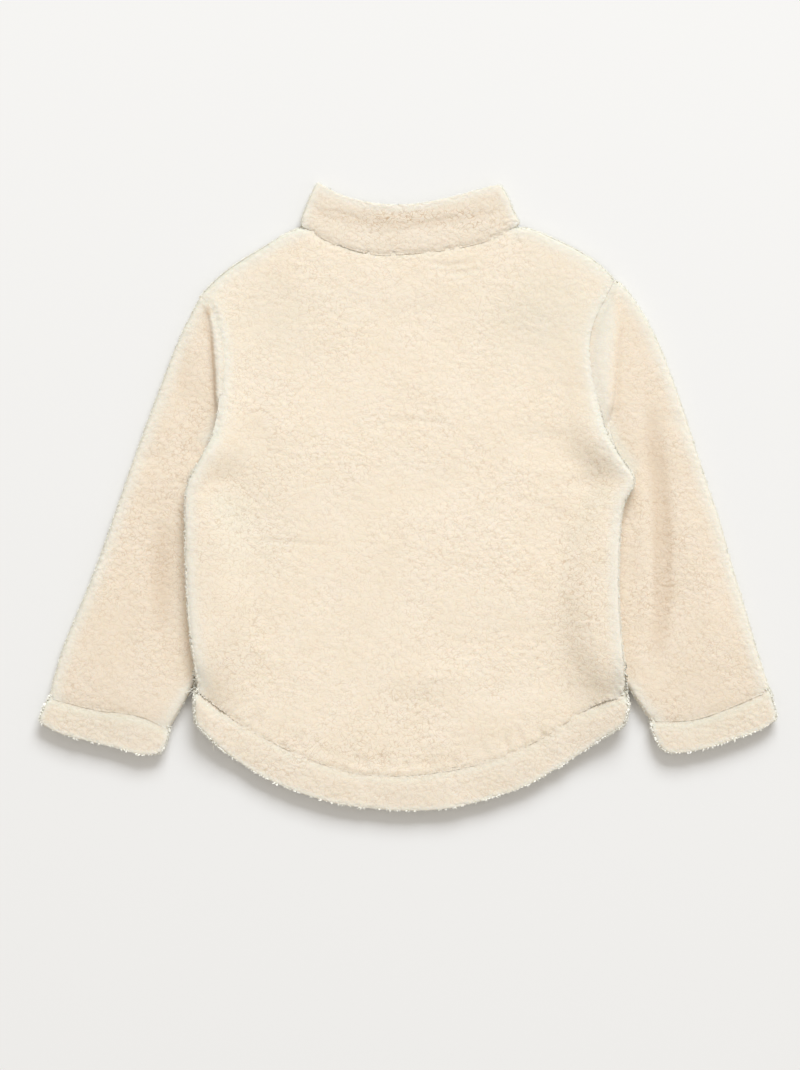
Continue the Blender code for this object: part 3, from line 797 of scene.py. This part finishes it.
def open_edge(node, points, normals, rim, outside):
    """The points of the side walls that nothing is sewn to, seen from above."""
    alone = node in BODY
    tree = neighbours([node] if alone else list(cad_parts))
    sewn = neighbours([n for n in ("hem_band", "collar") if n != node])
    edge = []
    for i in np.flatnonzero((rim > 0.5) & outside):
        side = Vector((normals[i][0], normals[i][1], 0))
        if side.length < 0.1:
            continue
        beside = Vector(points[i]) + side.normalized() * BESIDE
        beside.z = 1.0
        if tree.ray_cast(beside, Vector((0, 0, -1)))[0] is not None:
            continue
        if alone and sewn.find_nearest(Vector(points[i]), BESIDE)[0] is not None:
            continue
        edge.append(i)
    return edge


def near_tree(points, picked):
    tree = KDTree(len(picked))
    for i in picked:
        tree.insert(points[i], int(i))
    tree.balance()
    return tree


def drawn_in(points, normals, edge):
    """The points of the front with its open edges drawn in under those of the back."""
    tree = near_tree(points, edge)
    moved = points.copy()
    for i, place in enumerate(points):
        _, j, gap = tree.find(place)
        side = normals[j][:2] / np.linalg.norm(normals[j][:2])
        moved[i, :2] -= side * DRAW_IN * math.exp(-((gap / DRAW_REACH) ** 2))
    return moved


def edge_glow(node, points, edge, outside):
    """How near each point is to an open edge, from 0 to 1, for the painted sheen and paler fibre
    there.
    """
    tree = near_tree(points, edge)
    glow = np.zeros(len(points))
    for i in np.flatnonzero(outside):
        gap = tree.find(points[i])[2]
        glow[i] = math.exp(-((gap / (PIECES[node].halo * MM)) ** 2))
    return glow


def levelled(node, points, normals, outside):
    """The points of a sewn edge brought up level with the cloth beside it, without a gutter."""
    others = [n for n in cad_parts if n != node]
    gaps = gaps_to(others, points, outside, LEVEL_REACH, 1.0)
    top = outside & (gaps > SEAM_FLAT) & (gaps < LEVEL_REACH - 1e-4)
    top = np.flatnonzero(top & (normals[:, 2] > 0.75))
    if not len(top):
        return points
    flat = points * (1, 1, 0)
    beside = near_tree(flat, top)
    moved = points.copy()
    for i in np.flatnonzero(outside & (gaps < SEAM_FLAT) & (points[:, 2] > LOW)):
        _, j, _ = beside.find(flat[i])
        target = points[j][2] - SEAM_DEEP * (1 - gaps[i] / SEAM_FLAT)
        lift = target - points[i][2]
        if 0 < lift < LEVEL_LIFT:
            moved[i, 2] += lift * min(1.0, (points[i][2] - LOW) / (1.5 * MM))
    return moved


def falling(gaps, reach):
    """1 at no distance, and falling smoothly towards 0 past the reach, both in mm."""
    return np.exp(-((gaps / reach) ** 2))


def settled(node, points, outside):
    """The points with the cloth raised or pressed at its seams, and the tucked lips moved in."""
    moved = points.copy()
    upper = outside * np.clip((points[:, 2] - LOW) / (3 * MM), 0, 1)

    def beside(names, picked, reach):
        gaps = gaps_to(names, points, picked, 2.5 * reach * MM, np.inf)
        return falling(gaps / MM, reach)

    if node in SETTLE:
        names, reach, rise = SETTLE[node]
        moved[:, 2] += rise * MM * beside(names, upper > 0, reach) * upper
    if node in BODY:
        drops, reach = CORNER_DROP
        drop = np.interp(np.abs(points[:, 0]) / MM, *drops)
        fall = beside(["hem_band"], (drop > 0) & (points[:, 1] < -0.12), reach)
        moved[:, 2] -= drop * MM * fall * np.minimum(1.0, points[:, 2] / 0.01)
    if node in ARMHOLE_REACH:
        corners, rise = ARMHOLE_FILL
        fall = falling(line_gap(points, corners), ARMHOLE_REACH[node])
        moved[:, 2] += rise * MM * fall * upper
    for corners, width, way in TUCKS.get(node, ()):
        fall = falling(line_gap(points, corners), width)
        moved += fall[:, None] * np.array(way) * MM
    return moved


def patches(points, rows):
    """The sum of some soft oval patches at each point."""
    x, y = points[:, 0] / MM, points[:, 1] / MM
    total = np.zeros(len(points))
    for u, v, a, b, much in rows:
        total += much * np.exp(-(((x - u) / a) ** 2) - ((y - v) / b) ** 2)
    return total


def pile_tree():
    """Geometry nodes that raise the curls from a shell along its normals."""
    known = bpy.data.node_groups.get("Raise pile")
    if known:
        return known
    tree = bpy.data.node_groups.new("Raise pile", "GeometryNodeTree")
    for way in ("INPUT", "OUTPUT"):
        sockets(tree, "Geometry", ("Geometry",), way)
    into, out = add(tree, "NodeGroupInput"), add(tree, "NodeGroupOutput")
    place = add(tree, "GeometryNodeInputPosition").outputs[0]
    dome, _, rumple = curl_nodes(tree, place, pile().clump_size)
    lumps = clouds(tree, place, 0.011, 2.0).outputs[0]
    sag = clouds(tree, place, 0.075, 1.0).outputs[0]
    curl = times(
        tree, times(tree, around(tree, dome, 0.55), rumple), pile().curl_height
    )
    lump = times(tree, around(tree, lumps, 0.5), pile().lump_height * 2)
    swell = times(tree, around(tree, sag, 0.5), pile().sag_height * 2)
    weight, level = (
        add(tree, "GeometryNodeInputNamedAttribute", {0: name}).outputs[0]
        for name in ("pile", "level")
    )
    rough = times(tree, maths(tree, "ADD", curl, lump), weight)
    rise = maths(tree, "ADD", rough, times(tree, swell, level))
    normal = add(tree, "GeometryNodeInputNormal").outputs[0]
    scaled = {0: normal, "Scale": rise}
    offset = add(tree, "ShaderNodeVectorMath", scaled, operation="SCALE").outputs[0]
    raised = {"Geometry": into.outputs[0], "Offset": offset}
    moved = add(tree, "GeometryNodeSetPosition", raised)
    tree.links.new(moved.outputs[0], out.inputs[0])
    return tree


def write_attribute(mesh, name, values):
    kind, field = ("FLOAT", "value") if values.ndim == 1 else ("FLOAT_VECTOR", "vector")
    made = mesh.attributes.new(name, kind, "POINT")
    made.data.foreach_set(field, values.astype(np.float32).ravel())


def refined(form, tree, longest):
    """The points and triangles of a shell at its full fineness, and which points are outside."""
    points, faces = form
    outer = faces_out(points, faces, tree)
    faces = flipped(points, faces, outer)
    more = True
    while more:
        points, faces, outer, more = split_long(points, faces, outer, longest)
        faces = flipped(points, faces, outer)
    outside, inside = np.zeros((2, len(points)), bool)
    outside[faces[outer]] = inside[faces[~outer]] = True
    for _ in range(2):
        points = relaxed(points, faces, outside & ~inside)
        faces = flipped(points, faces, outer)
    return points, faces, outside


def pressed(node, points):
    """The points of a band or collar, as flat as its cloth presses."""
    if node in LEVELS:
        level_from, level_to = np.array(LEVELS[node]) * MM
        drop = np.interp(points[:, 2], level_from, level_to) - points[:, 2]
        if node == "hem_band":
            drop *= 1 - np.interp(np.abs(points[:, 0]) / MM, *BAND_KEEPS)
        points[:, 2] += drop
    return points


def shell(node, tree, form):
    """The finished cloth of one sewn piece, as an object."""
    longest = PIECES[node].finest * MM * 1.0
    points, faces, outside = refined(form, tree, longest)
    points = pressed(node, points)
    seam = gaps_to(SEAM_TO[node], points, outside, SEAM_SHOWS, SEAM_SHOWS) / MM
    points = settled(node, points, outside)
    points = drawn_together(node, points, outside)
    points = levelled(node, points, normals_of(points, faces), outside)
    points, fold = creased(node, points, normals_of(points, faces), outside)
    normals = normals_of(points, faces)
    rim = np.clip(1.25 - 1.6 * np.abs(normals[:, 2]), 0, 1) * outside
    edge = open_edge(node, points, normals, rim, outside)
    if node == "front":
        points = drawn_in(points, normals, edge)
    halo = edge_glow(node, points, edge, outside)
    line = np.full(len(points), FAR)
    # Painted shadow along the fold lines, as a tan tint in the cloth's colour.
    if node in FOLD_SHADOW_LINES:
        corners, dark, sharp = FOLD_SHADOW_LINES[node]
        away = line_gap(points, corners)
        fold = fold + 2.4 * dark * falling(away, 5.0)
        line = away if sharp else line
    # Painted highlight on the raised strips beside the folds, in the pale fibre colour, with the
    # fold shade taken off them.
    if node in HIGHLIGHT_STRIPS:
        corners, half = HIGHLIGHT_STRIPS[node]
        strip = HIGHLIGHT_STRENGTH * np.clip(1.5 - line_gap(points, corners) / half, 0, 1)
        halo = np.maximum(halo, strip)
        fold = fold * (1 - strip)
    mesh = build_mesh(node + "_cloth", points, faces)
    mesh.shade_smooth()
    attributes = {
        "place": points,
        "rim": rim,
        "halo": halo,
        "seam": seam,
        "line": line,
        "fold": fold / 2,
        "rough": patches(points, ROUGH),
        # Painted shade: darker where the cloth slopes towards the lamp, and in the listed patches.
        "painted_shade": np.clip(normals[:, 1], 0, 1) * outside + patches(points, SHADE_PATCHES),
        "pile": np.where(outside, 1 + pile().rim_gain * rim, 0.2),
        "level": np.clip(normals[:, 2] * 2, 0, 1) * outside * (1 - rim),
    }
    for name, values in attributes.items():
        write_attribute(mesh, name, values)
    obj = put(node + "_cloth", mesh)
    obj.modifiers.new("Raise pile", "NODES").node_group = pile_tree()
    depsgraph = bpy.context.evaluated_depsgraph_get()
    finished = bpy.data.meshes.new_from_object(obj.evaluated_get(depsgraph))
    obj.modifiers.clear()
    obj.data = finished
    bpy.data.meshes.remove(mesh)
    finished.name = node + "_cloth"
    for spare in ("pile", "level"):
        finished.attributes.remove(finished.attributes[spare])
    lifted, _ = arrays(finished)
    lifted[:, 2] = np.maximum(lifted[:, 2], 0.0)  # nothing lies below the floor
    finished.vertices.foreach_set("co", lifted.ravel())
    finished.update()
    return obj


def search_tree(parts):
    """A search tree over some pairs of points and triangles."""
    points, faces = join(parts)
    return BVHTree.FromPolygons(points.tolist(), faces.tolist())


def dress(nodes, together=False):
    forms = {n: rounded(n) for n in nodes}
    shared = search_tree(list(forms.values())) if together else None
    for node in nodes:
        obj = shell(node, shared or search_tree([forms[node]]), forms[node])
        obj.data.materials.append(fleece(PIECES[node].slot))
        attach(obj, "root")
        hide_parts(node)


# ------------------------------------------------------------------- materials


def curl_group():
    """The curls as a shader group, read where the cloth was before its pile was raised."""
    known = bpy.data.node_groups.get("Sherpa curls")
    if known:
        return known
    tree = bpy.data.node_groups.new("Sherpa curls", "ShaderNodeTree")
    sockets(tree, "Vector", ("Place",))
    width, fine_size = sockets(tree, "Float", ("Crevice Width", "Fine Size"))
    width.default_value, fine_size.default_value = 0.036, 0.0013
    sockets(tree, "Float", ("Crevice", "Height", "Cloud", "Ragged"), "OUTPUT")
    into, out = add(tree, "NodeGroupInput"), add(tree, "NodeGroupOutput")
    place = into.outputs["Place"]
    dome, cells, rumple = curl_nodes(tree, place, pile().curl_size)
    line = ramp(tree, cells, 0.0, into.outputs["Crevice Width"], 1.0, 0.0)
    broken = ramp(tree, clouds(tree, place, 0.007, 1.0).outputs[0], 0.3, 0.55, 0.5, 1.0)
    fine = add(
        tree,
        "ShaderNodeTexNoise",
        {
            "Vector": place,
            "Scale": maths(tree, "DIVIDE", 1.0, into.outputs["Fine Size"]),
            "Detail": 3.0,
            "Roughness": 0.6,
        },
    ).outputs[0]
    found = {
        "Crevice": times(tree, times(tree, line, broken), rumple, clamp=True),
        "Height": maths(
            tree, "ADD", times(tree, dome, rumple), times(tree, fine, 0.55)
        ),
        "Cloud": clouds(tree, place, 0.028, 3.0).outputs[0],
        "Ragged": clouds(tree, place, 0.004, 2.0).outputs[0],
    }
    for name, socket in found.items():
        tree.links.new(socket, out.inputs[name])
    return tree


def mixed(tree, factor, a, b):
    """Two colours mixed, each a socket or a value."""
    node = add(tree, "ShaderNodeMix", data_type="RGBA")
    first, second = [s for s in node.inputs if s.type == "RGBA"]
    for socket, value in ((node.inputs[0], factor), (first, a), (second, b)):
        if isinstance(value, bpy.types.NodeSocket):
            tree.links.new(value, socket)
        else:
            socket.default_value = (*value, 1.0) if socket.type == "RGBA" else value
    return [s for s in node.outputs if s.type == "RGBA"][0]


def fleece(slot):
    """The fleece of one slot: curls, tan crevices and folds of painted shade, painted shade on
    slopes facing the lamp, soft clouding, and painted sheen with pale fibre at the rims.
    """
    known = bpy.data.materials.get("curly_" + slot)
    if known:
        return known
    tones = {"body_fleece": colours().body, "sleeve_fleece": colours().sleeve}
    tone, tan = tones.get(slot, colours().band), colours().crevice
    material, tree, skin = coated(
        "curly_" + slot,
        Specular_IOR_Level=0.12,
        Subsurface_Weight=0.15,
        Subsurface_Radius=(1.0, 0.72, 0.45),
        Subsurface_Scale=0.004,
        Sheen_Weight=0.03,
        Sheen_Roughness=0.6,
        Sheen_Tint=(1.0, 0.92, 0.82, 1.0),
    )
    curls = add(tree, "ShaderNodeGroup", node_tree=curl_group())
    tree.links.new(attribute(tree, "place", "Vector"), curls.inputs["Place"])
    crevice, height, cloud, ragged = (
        curls.outputs[name] for name in ("Crevice", "Height", "Cloud", "Ragged")
    )
    cloud = ramp(tree, cloud, 0.3, 0.7)
    warmer = [c * k for c, k in zip(tone, (0.985, 0.975, 0.955))]
    colour = mixed(tree, cloud, warmer, tone)
    rough = maths(tree, "ADD", attribute(tree, "rough"), 1.0)
    # Painted shade in the crevices between the curls.
    crevice_shade = times(tree, rough, CREVICE_TINT.get(slot, 0.42))
    colour = mixed(tree, times(tree, crevice, crevice_shade, clamp=True), colour, tan)
    # Painted shade in the troughs of the creases.
    fold = ramp(tree, attribute(tree, "fold"), 0.1, 1.0, 0.0, 0.3)
    colour = mixed(tree, fold, colour, tan)
    ragged = times(tree, ragged, 2.4)
    seam = maths(tree, "ADD", attribute(tree, "seam"), ragged)
    stitched = ramp(tree, seam, 1.2, 3.2, SEAM_TINT.get(slot, 0.42), 0.0)
    # Painted shadow along the sharp fold lines.
    line = maths(tree, "ADD", attribute(tree, "line"), ragged)
    folded = ramp(tree, line, 1.6, 3.4, 0.7, 0.0)
    colour = mixed(tree, maths(tree, "MAXIMUM", stitched, folded), colour, tan)
    # Painted sheen with paler fibre at the rims and open edges, and the painted highlight of the
    # strips.
    pale_fibre_and_sheen = maths(
        tree,
        "MAXIMUM",
        times(tree, attribute(tree, "rim"), 0.4),
        ramp(tree, attribute(tree, "halo"), 0.05, 0.95, 0.0, 0.62),
    )
    colour = mixed(tree, pale_fibre_and_sheen, colour, colours().fuzz)
    # Painted shade on slopes that face the lamp and in the shade patches.
    painted_shade = ramp(tree, attribute(tree, "painted_shade"), 0.0, 0.42, 0.0, 0.42)
    colour = mixed(tree, painted_shade, colour, PAINTED_SHADE_TONE)
    tree.links.new(colour, skin.inputs["Base Color"])
    matt = ramp(tree, crevice, 0.0, 1.0, 0.92, 1.0)
    tree.links.new(matt, skin.inputs["Roughness"])
    bumped(tree, skin, height, 0.13, 0.0007)
    return material


def fibre():
    """Off-white loose fibre, a little uneven in tone."""
    known = bpy.data.materials.get("loose_fibre")
    if known:
        return known
    material, tree, skin = coated("loose_fibre", Roughness=0.9, Specular_IOR_Level=0.15)
    place = add(tree, "ShaderNodeTexCoord").outputs["Object"]
    patchy = ramp(tree, clouds(tree, place, 0.006, 2.0).outputs[0], 0.3, 0.7)
    tone = mixed(tree, patchy, colours().fuzz, PALE_FIBRE)
    tree.links.new(tone, skin.inputs["Base Color"])
    bumped(tree, skin, clouds(tree, place, 0.0006, 2.0).outputs[0], 0.1, 0.0001)
    return material


# ------------------------------------------------------------- fuzz and yarn ends


def tube(path, radii, sides=3):
    """Points and faces of a thin closed tube that tapers along its path."""
    path = np.asarray(path)
    heading = np.gradient(path, axis=0)
    heading /= np.linalg.norm(heading, axis=1, keepdims=True)
    aside = np.cross(heading, (0.31, 0.17, 0.93))
    aside /= np.maximum(np.linalg.norm(aside, axis=1, keepdims=True), 1e-9)
    upright = np.cross(heading, aside)
    angles = np.arange(sides) * 2 * math.pi / sides
    rings = [
        p + r * (np.cos(angles)[:, None] * a + np.sin(angles)[:, None] * u)
        for p, r, a, u in zip(path, radii, aside, upright)
    ]
    points = np.vstack([*rings, path[:1], path[-1:]])
    last = len(path) - 1
    faces = []
    for k in range(last):
        for s in range(sides):
            a, b = k * sides + s, k * sides + (s + 1) % sides
            faces += [(a, b, b + sides), (a, b + sides, a + sides)]
    root, tip = len(points) - 2, len(points) - 1
    for s in range(sides):
        t = (s + 1) % sides
        faces += [(root, t, s), (tip, last * sides + s, last * sides + t)]
    return points, np.array(faces)


def join(parts):
    """One pair of points and faces from many."""
    starts = np.cumsum([0] + [len(p) for p, _ in parts])
    return (
        np.vstack([p for p, _ in parts]),
        np.vstack([f + s for (_, f), s in zip(parts, starts)]),
    )


def rim_spots(obj, count, rng, reach):
    """Seeded places near the open edges of a shell, within the fuzz band, with their normals."""
    points, faces = arrays(obj.data)
    near = {}
    for name in ("rim", "halo"):
        values = np.empty(len(points), np.float32)
        obj.data.attributes[name].data.foreach_get("value", values)
        near[name] = values[faces].mean(1)
    area = np.linalg.norm(crosses(points, faces), axis=1) / 2
    base = normals_of(points, faces)[faces].mean(1)
    close = math.exp(-((FUZZ_BAND / reach) ** 2))
    weight = area * (near["halo"] > close)
    weight *= (near["rim"] > TURNED) & (base[:, 2] > UNDERSIDE)
    pick = rng.choice(len(faces), count, p=weight / weight.sum())
    mix = rng.dirichlet((1, 1, 1), count)
    spots = (points[faces[pick]] * mix[:, :, None]).sum(1)
    return spots, base[pick]


def curl_tube(spot, normal, reach, thick, rng):
    """A small hooked lock of fibre standing on a spot."""
    normal = normal / np.linalg.norm(normal)
    side = np.cross(normal, rng.normal(size=3))
    side /= np.linalg.norm(side)
    turn = rng.uniform(1.2, 2.6)
    bend = turn * np.linspace(0, 1, 5)
    out, over = np.sin(bend)[:, None] / turn, (1 - np.cos(bend))[:, None] / turn
    path = spot - normal * thick * 0.8 + reach * (out * normal + over * side)
    path[:, 2] = np.maximum(path[:, 2], thick)
    return tube(path, thick * np.array((1.0, 1.05, 0.95, 0.75, 0.4)))


def fuzz(obj, node, reach, stout, seed):
    """Loose locks along the edges of a shell, as one joined piece."""
    rng = np.random.default_rng(seed)
    piece = PIECES[node]
    count = piece.locks
    parts = []
    for spot, normal in zip(*rim_spots(obj, count, rng, piece.halo * MM)):
        longer = reach * rng.uniform(0.6, 1.5)
        thick = reach * stout * rng.uniform(0.8, 1.25)
        parts.append(curl_tube(spot, normal, longer, thick, rng))
    made = fibres(node + "_fuzz", parts)
    made.data.shade_flat()
    return made


def fibres(name, parts):
    """One object of loose fibre from many tubes."""
    mesh = build_mesh(name, *join(parts))
    mesh.materials.append(fibre())
    made = put(name, mesh)
    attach(made, "root")
    return made


class PULLOVER_OT_body(bpy.types.Operator):
    """Add the back and front panels"""

    bl_idname = "pullover.body"
    bl_label = "Body panels"

    def execute(self, context):
        dress(BODY, together=True)
        return {"FINISHED"}


class PULLOVER_OT_sleeves(bpy.types.Operator):
    """Add the two sleeves"""

    bl_idname = "pullover.sleeves"
    bl_label = "Sleeves"

    def execute(self, context):
        dress(("sleeve_left", "sleeve_right"))
        return {"FINISHED"}


class PULLOVER_OT_collar(bpy.types.Operator):
    """Add the standing collar"""

    bl_idname = "pullover.collar"
    bl_label = "Collar"

    def execute(self, context):
        dress(("collar",))
        return {"FINISHED"}


class PULLOVER_OT_bands(bpy.types.Operator):
    """Add the hem band and the two cuffs"""

    bl_idname = "pullover.bands"
    bl_label = "Hem band and cuffs"

    def execute(self, context):
        dress(("hem_band", "cuff_left", "cuff_right"))
        return {"FINISHED"}


class PULLOVER_OT_fuzz(bpy.types.Operator):
    """Add the loose fibre that stands along the edges"""

    bl_idname = "pullover.fuzz"
    bl_label = "Edge fuzz"

    def execute(self, context):
        for k, (node, piece) in enumerate(PIECES.items()):
            obj = bpy.data.objects[node + "_cloth"]
            pieces = []
            if piece.locks:
                longer, stout = RAGGED if node in BANDS else NEAT
                pieces = [fuzz(obj, node, pile().fuzz_length * longer, stout, 60 + k)]
        return {"FINISHED"}


class PULLOVER_OT_yarn_ends(bpy.types.Operator):
    """Add the few loose ends of yarn at the left end of the hem band"""

    bl_idname = "pullover.yarn_ends"
    bl_label = "Yarn ends"

    def execute(self, context):
        rng = np.random.default_rng(17)
        cloths = [bpy.data.objects[n + "_cloth"].data for n in ("hem_band", "back")]
        tree = search_tree([arrays(cloth) for cloth in cloths])
        t = np.linspace(0, 1, 8)
        lift = 0.0012 * np.sin(math.pi * t) - 0.002 * t
        parts = []
        for x, y, angle, reach in YARN_ENDS:
            root = tree.find_nearest(Vector((x * MM, y * MM, 0.010)))[0]
            turn = math.radians(angle)
            way = np.array((math.cos(turn), math.sin(turn), 0.0))
            side = np.array((-way[1], way[0], 0.0))
            wave = rng.uniform(-1, 1) * np.sin(2.2 * t) * 0.0016
            path = np.array(root) + np.outer(t, way) * reach * MM
            path += np.outer(wave, side) + np.outer(lift, (0, 0, 1))
            parts.append(tube(path, YARN_RADIUS * (1.15 - 0.5 * t), sides=5))
        fibres("yarn_ends", parts).data.shade_smooth()
        return {"FINISHED"}


class PULLOVER_OT_stage(bpy.types.Operator):
    """Add the floor, the soft lights and the camera"""

    bl_idname = "pullover.stage"
    bl_label = "Stage"

    def execute(self, context):
        bpy.ops.mesh.primitive_plane_add(size=9.0, location=(0, 0, 0))
        floor = context.object
        floor.name = "floor"
        paper, tree, skin = coated("paper", Roughness=0.9, Specular_IOR_Level=0.1)
        place = add(tree, "ShaderNodeTexCoord").outputs["Object"]
        tone = mixed(
            tree,
            clouds(tree, place, 0.4, 1.0).outputs[0],
            [c * 0.995 for c in studio().floor],
            studio().floor,
        )
        tree.links.new(tone, skin.inputs["Base Color"])
        floor.data.materials.append(paper)

        light = bpy.data.lights.new("key", "AREA")
        light.shape = "RECTANGLE"
        light.size, light.size_y = KEY_SIZE
        light.energy = studio().key_power
        light.color = (0.96, 1.0, 1.055)
        key = put("key", light)
        key.location = KEY_PLACE
        aim = -Vector(KEY_PLACE)
        key.rotation_euler = aim.to_track_quat("-Z", "Y").to_euler()

        world = bpy.data.worlds.new("studio")
        world.use_nodes = True
        sky = world.node_tree.nodes["Background"]
        sky.inputs["Color"].default_value = (1.04, 1.0, 0.94, 1.0)
        sky.inputs["Strength"].default_value = studio().sky
        context.scene.world = world

        camera = bpy.data.cameras.new("camera")
        camera.sensor_width = 36.0
        camera.lens = 36.0 * studio().camera_height / studio().view_height
        camera.clip_end = 50.0
        seat = put("camera", camera)
        seat.location = (*VIEW_MIDDLE, studio().camera_height)
        context.scene.camera = seat
        context.scene.view_settings.view_transform = "Standard"
        return {"FINISHED"}


class PULLOVER_PT_panel(bpy.types.Panel):
    """Lists the pieces and their sizes"""

    bl_label = "Sherpa fleece pullover"
    bl_idname = "PULLOVER_PT_panel"
    bl_space_type = "VIEW_3D"
    bl_region_type = "UI"
    bl_category = "Pullover"

    def draw(self, context):
        column = self.layout.column(align=True)
        for step in STEPS:
            column.operator(step.bl_idname)
        for group in (pile(), colours(), studio()):
            box = self.layout.box()
            for name in type(group).__annotations__:
                box.prop(group, name)


STEPS = (
    PULLOVER_OT_stage,
    PULLOVER_OT_body,
    PULLOVER_OT_sleeves,
    PULLOVER_OT_collar,
    PULLOVER_OT_bands,
    PULLOVER_OT_fuzz,
    PULLOVER_OT_yarn_ends,
)
CLASSES = (PileSettings, ColourSettings, StudioSettings, *STEPS, PULLOVER_PT_panel)
GROUPS = {
    "pullover_pile": PileSettings,
    "pullover_colours": ColourSettings,
    "pullover_studio": StudioSettings,
}


def register():
    for cls in CLASSES:
        bpy.utils.register_class(cls)
    for name, cls in GROUPS.items():
        setattr(bpy.types.Scene, name, bpy.props.PointerProperty(type=cls))


def unregister():
    for name in GROUPS:
        delattr(bpy.types.Scene, name)
    for cls in reversed(CLASSES):
        bpy.utils.unregister_class(cls)


def main():
    register()
    bpy.ops.pullover.stage()
    bpy.ops.pullover.body()
    bpy.ops.pullover.sleeves()
    bpy.ops.pullover.collar()
    bpy.ops.pullover.bands()
    bpy.ops.pullover.fuzz()
    bpy.ops.pullover.yarn_ends()


if __name__ == "__main__":
    main()
